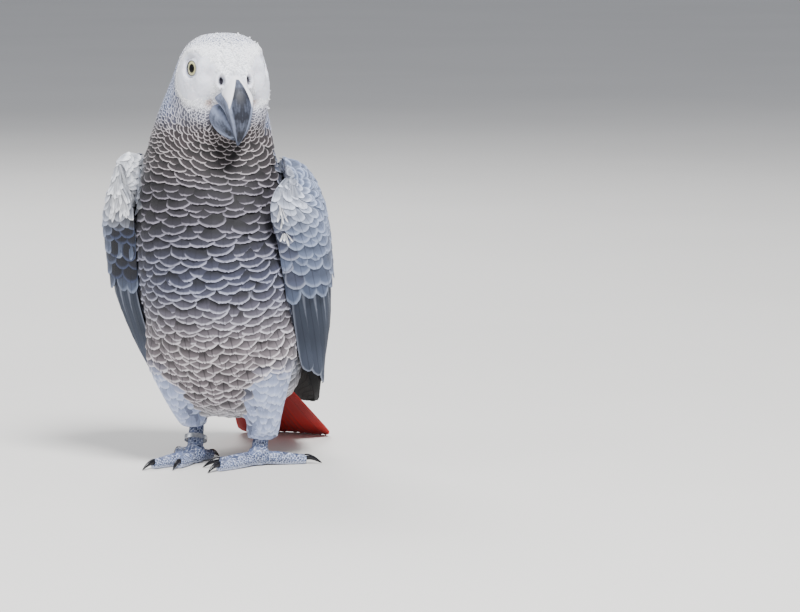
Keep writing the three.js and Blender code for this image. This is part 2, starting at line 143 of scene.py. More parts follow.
# ---------------------------------------------------------------- meshes
def new_object(name, mesh):
    piece = bpy.data.objects.new(name, mesh)
    bpy.context.scene.collection.objects.link(piece)
    return piece


def mesh_from(name, points, faces):
    mesh = bpy.data.meshes.new(name)
    mesh.from_pydata([tuple(p) for p in points], [], [tuple(f) for f in faces])
    mesh.update()
    return mesh


def smooth_shaded(mesh):
    mesh.polygons.foreach_set("use_smooth", [True] * len(mesh.polygons))
    mesh.update()


def faced_out(mesh):
    """Joins points that lie together, and turns every face outward."""
    shape = bmesh.new()
    shape.from_mesh(mesh)
    bmesh.ops.remove_doubles(shape, verts=shape.verts, dist=1e-7)
    bmesh.ops.recalc_face_normals(shape, faces=shape.faces)
    shape.to_mesh(mesh)
    shape.free()
    smooth_shaded(mesh)
    return mesh


def fetched(source, name):
    values = np.empty(len(source) * 3, np.float32)
    source.foreach_get(name, values)
    return values.reshape(-1, 3).astype(float)


def positions(mesh):
    return fetched(mesh.vertices, "co")


def normals(mesh):
    return fetched(mesh.vertex_normals, "vector")


def set_positions(mesh, values):
    mesh.vertices.foreach_set("co", np.asarray(values, np.float32).ravel())
    mesh.update()


def paint(mesh, name, colours):
    layer = mesh.color_attributes.new(name, "FLOAT_COLOR", "POINT")
    full = np.concatenate([colours, np.ones((len(colours), 1))], axis=1)
    layer.data.foreach_set("color", full.astype(np.float32).ravel())


def measure(mesh, name, values, vectors=False):
    """Stores one number, or one vector, for each point of a mesh."""
    layer = mesh.attributes.new(name, "FLOAT_VECTOR" if vectors else "FLOAT", "POINT")
    layer.data.foreach_set("vector" if vectors else "value", np.asarray(values, np.float32).ravel())


def tube_faces(rings, around, closed=False):
    """The faces between rings of points that follow one another, and back to the first if closed."""
    faces = []
    for i in range(rings if closed else rings - 1):
        step = ((i + 1) % rings - i) * around
        for k in range(around):
            a, b = i * around + k, i * around + (k + 1) % around
            faces.append((a, b, b + step, a + step))
    return faces


def crosswise(axis):
    """Two directions square to an axis and to each other, the second one upward."""
    over = axis.cross(HEAD_UP).normalized()
    return over, over.cross(axis).normalized()


def joined_nodes(name, nodes):
    """One mesh with the faces of these frame nodes."""
    points, faces = [], []
    for node in nodes:
        source = frame["nodes"][node].data
        start = len(points)
        points += [tuple(v.co) for v in source.vertices]
        faces += [tuple(start + i for i in p.vertices) for p in source.polygons]
    return mesh_from(name, points, faces)


def remeshed(name, nodes, voxel, rounds):
    """A smooth skin round these nodes, with no seam between them."""
    piece = new_object(name, joined_nodes(name, nodes))
    remesh = piece.modifiers.new("Remesh", "REMESH")
    remesh.mode = "VOXEL"
    remesh.voxel_size = voxel
    even = piece.modifiers.new("Even", "SMOOTH")
    even.factor = 0.5
    even.iterations = rounds
    graph = bpy.context.evaluated_depsgraph_get()
    mesh = bpy.data.meshes.new_from_object(piece.evaluated_get(graph))
    mesh.name = name
    bpy.data.objects.remove(piece)
    smooth_shaded(mesh)
    return mesh


def refined(mesh, chosen):
    """Splits the faces whose middles chosen picks into four, and evens the points it adds."""
    shape = bmesh.new()
    shape.from_mesh(mesh)
    middles = np.array([face.calc_center_median() for face in shape.faces])
    picked = chosen(middles)
    faces = [face for face, wanted in zip(list(shape.faces), picked) if wanted]
    edges = list({edge for face in faces for edge in face.edges})
    bmesh.ops.subdivide_edges(shape, edges=edges, cuts=1, use_grid_fill=True, smooth=0.6)
    bmesh.ops.triangulate(shape, faces=[face for face in shape.faces if len(face.verts) > 4])
    shape.to_mesh(mesh)
    shape.free()
    smooth_shaded(mesh)


def finish_piece(piece, material, replaces=()):
    """Gives a piece its material, its body and its slot, and says which nodes it replaces."""
    piece.data.materials.clear()
    piece.data.materials.append(material)
    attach(piece, "root")
    if replaces:
        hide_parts(*replaces)
    return piece


class Surface:
    """A skin that feathers and scales are laid on."""

    def __init__(self, mesh):
        self.points = positions(mesh)
        self.normals = normals(mesh)
        mesh.calc_loop_triangles()
        self.triangles = np.array([t.vertices[:] for t in mesh.loop_triangles])
        self.tree = BVHTree.FromPolygons(self.points.tolist(), self.triangles.tolist())

    def nearest(self, point):
        """The nearest place on the skin, and which way the skin faces there."""
        spot, _, face, _ = self.tree.find_nearest(point)
        a, b, c = self.triangles[face]
        even = self.normals[a] + self.normals[b] + self.normals[c]
        return spot, Vector(even).normalized()

    def scatter(self, count, density, chance):
        """Random places on the skin: more of them where density, a function of places, is higher."""
        corners = self.points[self.triangles]
        area = np.linalg.norm(np.cross(corners[:, 1] - corners[:, 0], corners[:, 2] - corners[:, 0]), axis=1)
        weight = area * density(corners.mean(axis=1))
        picks = chance.choice(len(area), count, p=weight / weight.sum())
        u, v = chance.random((2, count, 1))
        swap = u + v > 1
        u, v = np.where(swap, 1 - u, u), np.where(swap, 1 - v, v)
        a, b, c = (corners[picks, k] for k in range(3))
        na, nb, nc = (self.normals[self.triangles[picks, k]] for k in range(3))
        return a + (b - a) * u + (c - a) * v, unit(na + (nb - na) * u + (nc - na) * v)


# ---------------------------------------------------------------- the lie of the coat
def nearest_on_line(points, line):
    """For each place: the index of the nearest leg of the line, the share along it, and the distance."""
    starts, legs = line[:-1], line[1:] - line[:-1]
    offset = points[:, None] - starts[None]
    t = np.clip((offset * legs).sum(-1) / (legs**2).sum(-1), 0, 1)
    gap = np.linalg.norm(offset - t[..., None] * legs, axis=-1)
    best = gap.argmin(axis=1)
    row = np.arange(len(points))
    return best, t[row, best], gap[row, best]


def spine_nearest(points):
    """For each place, how far along the spine it is, in metres, and the spine's direction there."""
    best, share, _ = nearest_on_line(points, SPINE)
    legs = SPINE[1:] - SPINE[:-1]
    lengths = np.linalg.norm(legs, axis=1)
    reached = np.concatenate([[0], np.cumsum(lengths)[:-1]])
    headings = unit(legs)
    other = np.where(share > 0.5, np.minimum(best + 1, len(legs) - 1), np.maximum(best - 1, 0))
    blend = np.abs(share - 0.5)[:, None]
    return reached[best] + share * lengths[best], unit(mix(headings[best], headings[other], blend))


def on_skin(directions, skin_normals):
    """Directions laid flat along the skin."""
    flat = directions - (directions * skin_normals).sum(-1, keepdims=True) * skin_normals
    return unit(flat)


def thigh_share(points):
    """1 on the feathered thighs, 0 elsewhere."""
    share = np.zeros(len(points))
    for side in SIDES.values():
        line = np.array([place(side * x, y, z) for x, y, z, _ in THIGH])
        radii = np.array([radius for *_, radius in THIGH])
        best, along, gap = nearest_on_line(points, line)
        radius = radii[best] + (radii[best + 1] - radii[best]) * along
        outside = smooth(4, 12, side * points[:, 0] / MM)
        share = np.maximum(share, outside * (1 - smooth(radius + 1.5, radius + 5, gap / MM)))
    return share * (1 - smooth(58, 74, points[:, 2] / MM))


def head_frame(points):
    """Places in the head's own frame, in millimetres: left, ahead, up."""
    offset = (points - np.array(EYE_LINE)) / MM
    return (offset @ np.array([HEAD_LEFT, HEAD_AHEAD, HEAD_UP]).T).T


def bill_distance(points):
    return np.linalg.norm(points - np.array(BILL_BASE), axis=1) / MM


def body_heading(points, skin_normals):
    """Feathers point away from the bill on the head, down the trunk, and down each thigh."""
    share = smooth(26, 50, bill_distance(points))[:, None]
    mixed = mix(unit(points - np.array(BILL_BASE)), spine_nearest(points)[1], share)
    return on_skin(mix(mixed, np.array([0, 0.15, -1.0]), thigh_share(points)[:, None]), skin_normals)


def body_order(points):
    """How early in the lie of the coat each place comes: the bill first, the tail last."""
    far = bill_distance(points)
    return np.minimum(far, 45) + spine_nearest(points)[0] / MM * smooth(30, 60, far)


FACE_MIDDLE = (2.5, -5)  # the middle of the face's bare skin: ahead and up, in the head's frame
FACE_SLANT = (0.51, 0.86)  # sine and cosine of how far its long way leans from upright
FACE_HALF_SIZE = (15, 13.5, 10)  # along its long way, and ahead of and behind its middle


def face_reach(points):
    """How far each place is from the middle of the bare skin of the face, which ends at 1. It runs
    from over the eye down to the gape."""
    left, ahead, up = head_frame(points)
    ahead, up = ahead - FACE_MIDDLE[0], up - FACE_MIDDLE[1]
    sine, cosine = FACE_SLANT
    half_length, fore, aft = FACE_HALF_SIZE
    down = (sine * ahead - cosine * up) / half_length
    across = cosine * ahead + sine * up
    across = across / np.where(across > 0, fore, aft)
    return np.hypot(down, across) + 1 - smooth(3, 8, np.abs(left))


def face_share(points):
    """1 on the bare skin of the face, 0 elsewhere."""
    return 1 - smooth(0.88, 1.06, face_reach(points))


def face_border(points):
    """1 on the tiny white feathers round the bare skin, fading out into the rest of the coat."""
    return 1 - smooth(1.03, 1.36, face_reach(points))


def spacing(points):
    """How far apart feathers stand across and along the lie of the coat, in metres."""
    heights = points[:, 2] / MM
    stations = [20, 50, 90, 120, 147, 165, 178, 190, 199, 212, 224, 245]
    across = np.interp(heights, stations, [8, 9.6, 10.8, 11.4, 12.2, 11.4, 9.4, 6.2, 4.1, 2.8, 2.1, 1.8])
    along = np.interp(heights, stations, [4.4, 4.3, 4.2, 4.6, 4.6, 4.0, 3.1, 2.2, 1.8, 1.6, 1.4, 1.2])
    leg = thigh_share(points)
    near = 1 - smooth(14, 34, bill_distance(points))
    border = face_border(points)
    for share, wide, long in ((leg, 7.2, 4.6), (near, 1.7, 1.2), (border, 1.35, 0.95)):
        across, along = mix(across, wide, share), mix(along, long, share)
    return across * MM, along * MM


def coat_depth(points):
    """How far the skin lies under the solids' surface, to leave room for the feathers."""
    depth = np.interp(spacing(points)[0] / MM, [1.3, 1.8, 3, 4.6, 8, 13], [0.1, 0.16, 0.4, 0.7, 1.1, 1.6])
    return depth * MM * (1 - 0.6 * thigh_share(points))


# ---------------------------------------------------------------- colours of the coat
SHADES = {
    "face_edge": ((236, 238, 245), (250, 251, 255)),
    "gape": ((146, 106, 84), (214, 184, 164)),
    "forehead": ((226, 229, 238), (252, 253, 255)),
    "crown": ((122, 130, 158), (250, 251, 255)),
    "nape": ((86, 97, 130), (192, 201, 226)),
    "cheek": ((112, 112, 126), (226, 226, 238)),
    "throat": ((48, 42, 44), (178, 170, 172)),
    "breast_high": ((38, 35, 42), (140, 135, 147)),
    "breast": ((56, 59, 78), (160, 164, 188)),
    "belly": ((116, 108, 113), (220, 213, 218)),
    "thigh": ((168, 180, 216), (202, 211, 236)),
    "vent": ((206, 203, 206), (232, 230, 234)),
    "back": ((98, 104, 122), (160, 168, 186)),
    "rump": ((200, 203, 211), (228, 230, 236)),
    "tail_cover": ((176, 20, 12), (214, 36, 16)),
    "lesser": ((108, 120, 148), (156, 168, 196)),
    # painted shadow on the right wing's front edge and its inner side, which faces the breast
    "shadowed_edge": ((18, 22, 38), (64, 73, 100)),
    "edge_soft": ((70, 76, 98), (136, 141, 160)),
    "wrist": ((222, 226, 236), (248, 250, 255)),
    "median": ((84, 95, 120), (132, 143, 168)),
    "greater": ((66, 76, 98), (118, 129, 152)),
    "secondary": ((72, 79, 94), (142, 149, 166)),
    "primary": ((4, 4, 6), (12, 13, 17)),
    "tail": ((160, 12, 8), (198, 26, 12)),
}
SHADES = {name: tuple(np.array(srgb(*shade)) for shade in pair) for name, pair in SHADES.items()}


def shaded(base, blends, count):
    """The middle and fringe colours of so many feathers: those of the base shade, with each of these
    shades laid over it in turn by its share."""
    result = []
    for part in (0, 1):
        mixed = np.repeat(SHADES[base][part][None], count, axis=0)
        for name, share in blends:
            mixed = mixed + (SHADES[name][part] - mixed) * share[:, None]
        result.append(mixed)
    return result


def body_colours(points, skin_normals):
    """The middle and fringe colours of a feather at each place on head, neck, trunk and thighs."""
    heights = points[:, 2] / MM
    behind_line = (points[:, 1] - LINE_Y) / MM
    left, ahead, up = head_frame(points)
    leg = thigh_share(points)
    back = smooth(-0.2, 0.4, skin_normals[:, 1])
    gape = np.linalg.norm([np.abs(left) - GAPE[0], ahead - GAPE[1], up - GAPE[2]], axis=0)
    blends = [
        ("breast", smooth(74, 124, heights)),
        ("breast_high", smooth(112, 162, heights)),
        ("throat", smooth(165, 185, heights)),
        ("back", back),
        ("nape", back * smooth(165, 195, heights)),
        ("rump", back * (1 - smooth(62, 92, heights))),
        ("nape", smooth(194, 212, heights)),
        ("cheek", smooth(192, 206, heights) * smooth(-16, 2, ahead)),
        ("crown", smooth(-4, 10, up + 0.5 * ahead)),
        ("forehead", smooth(2, 12, ahead) * smooth(-14, -6, up)),
        ("wrist", smooth(34, 39, -points[:, 0] / MM) * smooth(152, 160, heights)),
        ("lesser", smooth(34, 39, points[:, 0] / MM) * smooth(152, 160, heights)),
        ("vent", (1 - smooth(30, 52, heights - 0.25 * behind_line)) * (1 - leg)),
        ("tail_cover", smooth(50, 64, behind_line)),
        ("thigh", leg),
        ("face_edge", face_border(points)),
        ("gape", 1 - smooth(1.2, 3.6, gape)),
    ]
    return shaded("belly", blends, len(points))


# ---------------------------------------------------------------- one feather's pattern
class Vane:
    """The flat pattern of one kind of feather: a grid, its outline, and how far each point is from it."""

    def __init__(self, rows, columns, outline, aspect, thickness):
        self.rows = np.array(rows, float)
        self.columns = np.array(columns, float)
        self.outline = np.array([outline(b) for b in rows])
        self.aspect = aspect
        self.thickness = thickness
        count, wide = len(rows), len(columns)
        grid = np.arange(count * wide).reshape(count, wide)
        inner = np.zeros((count, wide), bool)
        inner[1:-1, 1:-1] = True
        under = grid.copy()
        under[inner] = count * wide + np.arange(inner.sum())
        self.inner = np.flatnonzero(inner.ravel())
        top = self.quads(grid)
        below = self.quads(under)[:, ::-1]
        self.faces = np.concatenate([top, below])
        self.across = (self.columns[None] * self.outline[:, None]).ravel()
        self.along = np.repeat(self.rows, wide)
        self.rim = self.rim_distance(grid)
        pick = np.concatenate([np.arange(count * wide), self.inner])
        self.table = np.stack([self.across[pick], self.along[pick], self.rim[pick]], axis=1)

    @staticmethod
    def quads(grid):
        return np.stack([grid[:-1, :-1], grid[:-1, 1:], grid[1:, 1:], grid[1:, :-1]], axis=-1).reshape(-1, 4)

    def rim_distance(self, grid):
        """Distance of each point from the edges and tip, as a share of half the feather's width."""
        flat = np.stack([self.across, self.along * self.aspect], axis=1)
        edge = np.concatenate([grid[:, 0], grid[-1, 1:-1], grid[::-1, -1]])
        starts, ends = flat[edge[:-1]], flat[edge[1:]]
        legs = ends - starts
        offset = flat[:, None] - starts[None]
        t = np.clip((offset * legs).sum(-1) / np.maximum((legs**2).sum(-1), 1e-9), 0, 1)
        return np.linalg.norm(offset - t[..., None] * legs, axis=-1).min(axis=1)


def round_outline(full, blunt):
    """Narrow at the root, widest at full, and rounded to the tip: blunt is the width left at the end."""
    def outline(b):
        if b <= full:
            return 0.45 + 0.55 * math.sin(math.pi / 2 * b / full)
        t = (b - full) / (1 - full)
        return max(math.sqrt(max(1 - t * t, 0)), blunt)
    return outline


SCALE = Vane([0, 0.4, 0.75, 0.93, 1], [-1, 0, 1], round_outline(0.6, 0.35), 2.0, 0.03)
SMALL = Vane([0, 0.4, 0.68, 0.86, 1], [-1, -0.6, 0, 0.6, 1], round_outline(0.66, 0.36), 1.8, 0.02)
CONTOUR = Vane([0, 0.36, 0.6, 0.76, 0.87, 0.95, 1], [-1, -0.74, -0.42, -0.14, 0.14, 0.42, 0.74, 1],
               round_outline(0.72, 0.32), 1.8, 0.01)
COVERT = Vane([0, 0.25, 0.5, 0.68, 0.82, 0.92, 0.98, 1], [-1, -0.7, -0.15, 0.15, 0.7, 1],
              round_outline(0.72, 0.3), 3.6, 0.02)
FLIGHT = Vane([0, 0.12, 0.25, 0.38, 0.5, 0.62, 0.73, 0.83, 0.91, 0.96, 0.99, 1],
              [-1, -0.75, -0.35, -0.08, 0.08, 0.4, 0.8, 1], round_outline(0.88, 0.3), 14, 0.02)


# ---------------------------------------------------------------- laying feathers
SHARPEST_BEND = 0.2  # a feather sails straight on where the skin's facing agrees less than this with its own
WRAPPED_WIDTH = 3 * MM  # feathers wider than this bend across to fit the skin


def with_underside(rows, vane, thickness):
    """A feather's grid from its upper side's points, each with its facing: those, then its underside's."""
    grid = np.array(rows)
    under = grid[vane.inner, :3] - grid[vane.inner, 3:] * thickness
    return np.concatenate([grid[:, :3], under])


def lay(surface, root, heading, length, width, vane, heights, camber, ragged):
    """The grid of one feather on a skin. heights are above the skin at each row, camber is how far
    its edges curl down, and ragged is how much longer it is at each of its columns."""
    rows = []
    spot, normal = surface.nearest(root)
    steps = np.diff(vane.rows, prepend=0) * length
    for index, step in enumerate(steps):
        if step:
            heading = (heading - normal * heading.dot(normal)).normalized()
            reached = spot + heading * step
            found, facing = surface.nearest(reached)
            if facing.dot(normal) < SHARPEST_BEND:
                spot = reached
            else:
                spot, normal = found, (facing + normal).normalized()
        half = normal.cross(heading).normalized() * (width / 2 * vane.outline[index])
        bow = Vector()
        if width > WRAPPED_WIDTH:
            first, last = surface.nearest(spot - half)[0], surface.nearest(spot + half)[0]
            bow = (first + last) / 2 - spot
            half = (last - first) / 2
        lift = normal * heights[index]
        for k, a in enumerate(vane.columns):
            at = spot + half * a + bow * (a * a) + lift - normal * (camber * a * a)
            at = at + heading * (ragged[k] * vane.rows[index] ** 6)
            rows.append((*at, *normal))
    return with_underside(rows, vane, vane.thickness * width)


class Coat:
    """Gathers laid feathers of one kind of pattern, and makes one piece of them."""

    def __init__(self, name):
        self.name = name
        self.batches = []

    def add(self, vane, grids, shades, tones, patches, widths, rims):
        """shades are the middle and fringe colours, patches each feather's place and half size on the
        bake map, and rims how wide its fringe is."""
        full = np.ones(len(grids))
        self.batches.append((vane, np.array(grids), *shades, tones, patches, full * widths, full * rims))

    def make(self, material, replaces=()):
        """One mesh of all the feathers, with what their material reads."""
        points, faces, vanes, rims, middles, fringes, maps = [], [], [], [], [], [], []
        start = 0
        for vane, grids, middle_shades, fringe_shades, tones, patches, widths, rim_sizes in self.batches:
            count, size = grids.shape[:2]
            points.append(grids.reshape(-1, 3))
            offsets = start + size * np.arange(count)
            faces.append((vane.faces[None] + offsets[:, None, None]).reshape(-1, 4))
            table = np.repeat(vane.table[None], count, axis=0)
            tone = np.repeat(tones[:, None, None], size, axis=1)
            vanes.append(np.concatenate([table[..., :2], tone], axis=-1).reshape(-1, 3))
            rims.append((table[..., 2] * (widths / 2 / rim_sizes)[:, None]).ravel())
            middles.append(np.repeat(middle_shades, size, axis=0))
            fringes.append(np.repeat(fringe_shades, size, axis=0))
            flat = np.stack([table[..., 0], table[..., 1] * 2 - 1], axis=-1)
            maps.append((patches[:, None, :2] + flat * patches[:, None, 2:]).reshape(-1, 2))
            start += count * size
        if not start:
            raise RuntimeError(f"{self.name} has no feathers")
        points, faces = np.concatenate(points), np.concatenate(faces)
        mesh = bpy.data.meshes.new(self.name)
        mesh.vertices.add(len(points))
        mesh.vertices.foreach_set("co", points.astype(np.float32).ravel())
        mesh.loops.add(faces.size)
        mesh.loops.foreach_set("vertex_index", faces.astype(np.int32).ravel())
        mesh.polygons.add(len(faces))
        mesh.polygons.foreach_set("loop_start", np.arange(0, faces.size, 4, dtype=np.int32))
        mesh.update(calc_edges=True)
        measure(mesh, "vane", np.concatenate(vanes), vectors=True)
        measure(mesh, "rim", np.concatenate(rims))
        paint(mesh, "middle", np.concatenate(middles))
        paint(mesh, "fringe", np.concatenate(fringes))
        layer = mesh.uv_layers.new(name="OFBake")
        layer.data.foreach_set("uv", np.concatenate(maps)[faces.ravel()].astype(np.float32).ravel())
        smooth_shaded(mesh)
        mesh.set_sharp_from_angle(angle=math.radians(70))
        return finish_piece(new_object(self.name, mesh), material, replaces)


# ---------------------------------------------------------------- bake map
def round_map(points):
    """Places on an unwrap of head, neck and trunk: round the middle line, and along it."""
    reached, heading = spine_nearest(points)
    best, share, _ = nearest_on_line(points, SPINE)
    centre = SPINE[best] + (SPINE[best + 1] - SPINE[best]) * share[:, None]
    offset = points - centre
    past = (offset * heading).sum(-1)
    side = np.cross(heading, [0, 0, 1.0]) + np.array([1e-6, 0, 0])
    side = unit(side * np.sign(side[:, :1] + 1e-9))
    front = unit(np.cross(side, heading))
    turn = np.arctan2((offset * side).sum(-1), (offset * front).sum(-1))
    length = np.linalg.norm(SPINE[1:] - SPINE[:-1], axis=1).sum() + 0.07
    return np.stack([0.5 + 0.49 * turn / np.pi, 0.02 + 0.95 * (reached + past + 0.045) / length], axis=1)


def head_map(points):
    """Places on an even unwrap of the head: round the upright line through it, and up it."""
    left, ahead, up = head_frame(points)
    turn = np.arctan2(left, -(ahead + 8))
    rise = (up + 8) / np.linalg.norm([left, ahead + 8, up + 8], axis=0)
    return np.stack([0.5 + 0.49 * turn / np.pi, 0.5 + 0.48 * rise], axis=1)


def small_patches(places, widths):
    """Each feather's patch at its root's place: 0.003 across, and up to 0.006 on the largest."""
    half = np.interp(widths / MM, [3, 14], [0.0015, 0.003])
    return np.column_stack([np.clip(places, 0.004, 0.996), half, half])


def strip_patches(count):
    """Long feathers' patches: strips side by side, each over the whole height of the map."""
    strip = np.array([0, 0.5, 0.44 / count, 0.47])
    return np.array([strip + [(k + 0.5) / count, 0, 0, 0] for k in range(count)])


# ---------------------------------------------------------------- the folded wings
# The left wing from its wrist to its tip: front edge, rear edge, and how far it stands off between.
WING = [
    (47, -31, 165, 46, -20, 171, 7), (43.5, -35, 157, 40, -3, 175, 17.5),
    (42.4, -34, 146, 31, 17, 171.5, 22), (44.5, -26, 129, 25, 32, 162, 26),
    (45.8, -19, 111, 18.5, 44, 146.5, 27), (46.8, -12, 92, 14, 54, 128, 26),
    (47, 1, 73, 10.5, 64, 109, 22.5), (46.5, 15, 55, 7.5, 75, 91, 16), (45, 33, 39, 5, 86, 75, 10.5),
    (41, 55, 29, 3.5, 97, 61, 6), (33, 78, 25.5, 2.5, 107.5, 50, 4), (21, 100, 22.5, 2.5, 116.5, 39, 2.5),
    (10, 119, 18.5, 3.5, 125, 26, 1.2),
]
WING_END = len(WING) - 1
WING_ROUND = 0.62
WING_SKEW = 1.55
WING_HOLLOW = 0.6  # how far the inner side stands off at its front edge, as a share of the outer side
WING_COAT = 0.5 * MM  # how far the wings' skin lies inside their solids
WING_LINING = ([3, 4.2], [1.5, 4.6])  # how far the feathers inside lie off their solids, by station
SKIN_UNDER_WING = ([3, 4.2], [1.4, 3.4])  # how far the skin lies under the feathers' sheet, by station
WRIST_DOME = 4.5  # how far the feathers of the wrist stand above the wing's first section
WRIST_FLUFF = 6  # how much higher the right wrist's loose feathers stand
WRIST_SPREAD = 3.5  # and how much further out


def row_at(table, t):
    """Rows at places t along a table of rows, on a smooth curve through them."""
    table = np.asarray(table, float)
    last = len(table) - 1
    i = np.clip(np.floor(t).astype(int), 0, last - 1)
    f = (t - i)[:, None]
    a, b, c, d = (table[np.clip(i + k, 0, last)] for k in (-1, 0, 1, 2))
    return b + 0.5 * f * (c - a + f * (2 * a - 5 * b + 4 * c - d + f * (3 * (b - c) + d - a)))


class WingSheet:
    """The outer side of one folded wing, or its inner side, which faces the breast. Stations run from
    its wrist, 0, to its tip; across runs from the front edge, 0, to the rear edge, 1, and below 0 it
    turns in behind the front edge."""

    def __init__(self, side, inside=False):
        self.turn = side if inside else -side
        dome = -np.sin(np.linspace(math.pi / 2, 0, 12, endpoint=False))
        self.stations = np.concatenate([dome, np.linspace(0, WING_END, 8 * WING_END + 1)])
        self.across = np.linspace(-0.08, 1.04, 113)
        solid = np.maximum(self.stations, 0)
        rows = row_at(WING, solid)
        front, rear, bulge = rows[:, :3], rows[:, 3:6], rows[:, 6]
        later = row_at(WING, np.minimum(solid + 0.25, WING_END))
        sooner = row_at(WING, np.maximum(solid - 0.25, 0))
        lengthways = (later - sooner)[:, :3] + (later - sooner)[:, 3:6]
        out = unit(np.cross(lengthways, rear - front))
        angles = np.linspace(0, np.pi, 500)
        share = ((1 - np.cos(angles)) / 2) ** WING_SKEW
        rise = np.sin(angles) ** WING_ROUND * (WING_HOLLOW * (1 - share) if inside else 1)
        sections = (front[:, None] + (rear - front)[:, None] * share[None, :, None]
                    + out[:, None] * (bulge[:, None] * rise[None])[..., None])
        table = np.array([self.evened(section) for section in sections])
        # Above its first section the wrist is domed: the section shrinks as it rises.
        upward = -unit(lengthways[0])
        centre = (front[0] + rear[0]) / 2 + out[0] * bulge[0] * 0.5
        for index in np.flatnonzero(self.stations < 0):
            before = -self.stations[index]
            shrunk = centre + (table[index] - centre) * math.sqrt(max(1 - before**2, 0.0004))
            table[index] = shrunk + upward * WRIST_DOME * before
        if side == SIDES["right"]:
            table[..., 2] += WRIST_FLUFF * (1 - smooth(0, 1, self.stations))[:, None]
            spread = 0 if inside else WRIST_SPREAD
            table[..., 0] += spread * np.exp(-((self.stations - 0.5) / 0.8) ** 2)[:, None]
        table[..., 0] *= side
        self.table = np.array(place(0, 0, 0)) + table * MM
        down = np.gradient(self.table, self.stations, axis=0)
        over = np.gradient(self.table, self.across, axis=1)
        self.reach = np.stack([np.linalg.norm(down, axis=-1), np.linalg.norm(over, axis=-1)], axis=-1)
        self.facing = unit(np.cross(down, over)) * -self.turn
        for _ in range(3):
            nearby = self.facing[:, :-2] + self.facing[:, 1:-1] * 2 + self.facing[:, 2:]
            self.facing[:, 1:-1] = unit(nearby)
        if inside:
            self.table += self.facing * (np.interp(self.stations, *WING_LINING) * MM)[:, None, None]
        rows, columns = self.table.shape[:2]
        grid = np.arange(rows * columns).reshape(rows, columns)[::2, ::4]
        faces = Vane.quads(grid)[:, ::self.turn]
        self.tree = BVHTree.FromPolygons(self.table.reshape(-1, 3).tolist(), faces.tolist())
        self.row_of_face = np.repeat(np.arange(0, rows, 2)[:-1], grid.shape[1] - 1)

    def evened(self, section):
        """Places on one section at even shares of its length, and straight on past its two edges."""
        arc = np.concatenate([[0], np.cumsum(np.linalg.norm(np.diff(section, axis=0), axis=1))])

        def at(shares):
            places = shares * arc[-1]
            return np.stack([np.interp(places, arc, section[:, axis]) for axis in range(3)], axis=-1)
        line = at(self.across)
        for beyond, edge, inner in ((self.across < 0, 0.0, 0.05), (self.across > 1, 1.0, 0.95)):
            slope = (at(inner) - at(edge)) / (inner - edge)
            line[beyond] = at(edge) + slope * (self.across[beyond] - edge)[:, None]
        return line

    def nearest(self, point):
        """For the nearest place on the sheet: its station, which way it faces, how far the point stands
        above it, and how far beside it."""
        spot, facing, face, _ = self.tree.find_nearest(point)
        offset = Vector(point) - spot
        above = offset.dot(facing)
        return self.stations[self.row_of_face[face]], facing, above, (offset - facing * above).length

    def read(self, table, stations, across):
        """The table's values at these places, evened between its stations and its steps across."""
        rows, columns = len(self.stations), len(self.across)
        row = np.clip(np.interp(stations, self.stations, np.arange(rows)), 0, rows - 1.001)
        column = np.clip(np.interp(across, self.across, np.arange(columns)), 0, columns - 1.001)
        i, j = row.astype(int), column.astype(int)
        f, g = (row - i)[..., None], (column - j)[..., None]
        upper = mix(table[i, j], table[i, j + 1], g)
        return mix(upper, mix(table[i + 1, j], table[i + 1, j + 1], g), f)

    def feathers(self, vane, stations, across, lengths, widths, heights, drift=0.0, ends=None, camber=0.04):
        """Grids of feathers rooted at these places. heights are (root, tip) above the sheet in metres;
        ends are the stations of the tips where given, in place of lengths; drift is how far they shift
        across by then, and camber how far their edges curl down, as a share of their width."""
        count = len(stations)
        s, v = np.array(stations, float), np.array(across, float)
        drift = np.broadcast_to(drift, count)
        rows = []
        steps = np.diff(vane.rows, prepend=0)
        for index, step in enumerate(steps):
            if ends is None:
                s = s + step * lengths / self.read(self.reach, s, v)[..., 0]
            else:
                s = s + step * (np.asarray(ends) - np.asarray(stations))
            s = np.minimum(s, WING_END)
            v = v + step * drift
            half = widths / 2 * vane.outline[index] / np.maximum(self.read(self.reach, s, v)[..., 1], 0.004)
            places = v[:, None] + vane.columns[None] * half[:, None] * self.turn
            places = np.clip(places, -0.03, 1.035)
            long = np.repeat(s[:, None], len(vane.columns), axis=1)
            share = vane.rows[index] ** 1.2
            lift = heights[0] + (heights[1] - heights[0]) * share
            bow = camber * widths[:, None] * vane.columns[None] ** 2
            spot = self.read(self.table, long, places)
            out = self.read(self.facing, long, places)
            rows.append((spot + out * (np.broadcast_to(lift, count)[:, None] - bow)[..., None], out))
        grid = np.stack([r[0] for r in rows], axis=1).reshape(count, -1, 3)
        out = np.stack([r[1] for r in rows], axis=1).reshape(count, -1, 3)
        under = grid[:, vane.inner] - out[:, vane.inner] * (vane.thickness * widths)[:, None, None]
        return np.concatenate([grid, under], axis=1)

    def map(self, stations, across):
        return np.stack([0.03 + 0.94 * (np.asarray(across) + 0.08) / 1.12,
                         0.03 + 0.94 * (np.asarray(stations) + 1) / (WING_END + 1)], axis=1)


# ---------------------------------------------------------------- shader helpers
def wire(tree, kind, inputs=None, **settings):
    """Adds a node. Its inputs are sockets to link, or plain values."""
    made = tree.nodes.new(kind)
    for name, value in settings.items():
        setattr(made, name, value)
    fill_sockets(tree, made, inputs or {})
    return made


def fill_sockets(tree, made, inputs):
    for key, value in inputs.items():
        if isinstance(value, bpy.types.NodeSocket):
            tree.links.new(value, made.inputs[key])
        else:
            made.inputs[key].default_value = value


def maths(tree, operation, *values):
    return wire(tree, "ShaderNodeMath", dict(enumerate(values)), operation=operation).outputs[0]


def plus(tree, first, second):
    return maths(tree, "ADD", first, second)


def times(tree, first, second):
    return maths(tree, "MULTIPLY", first, second)


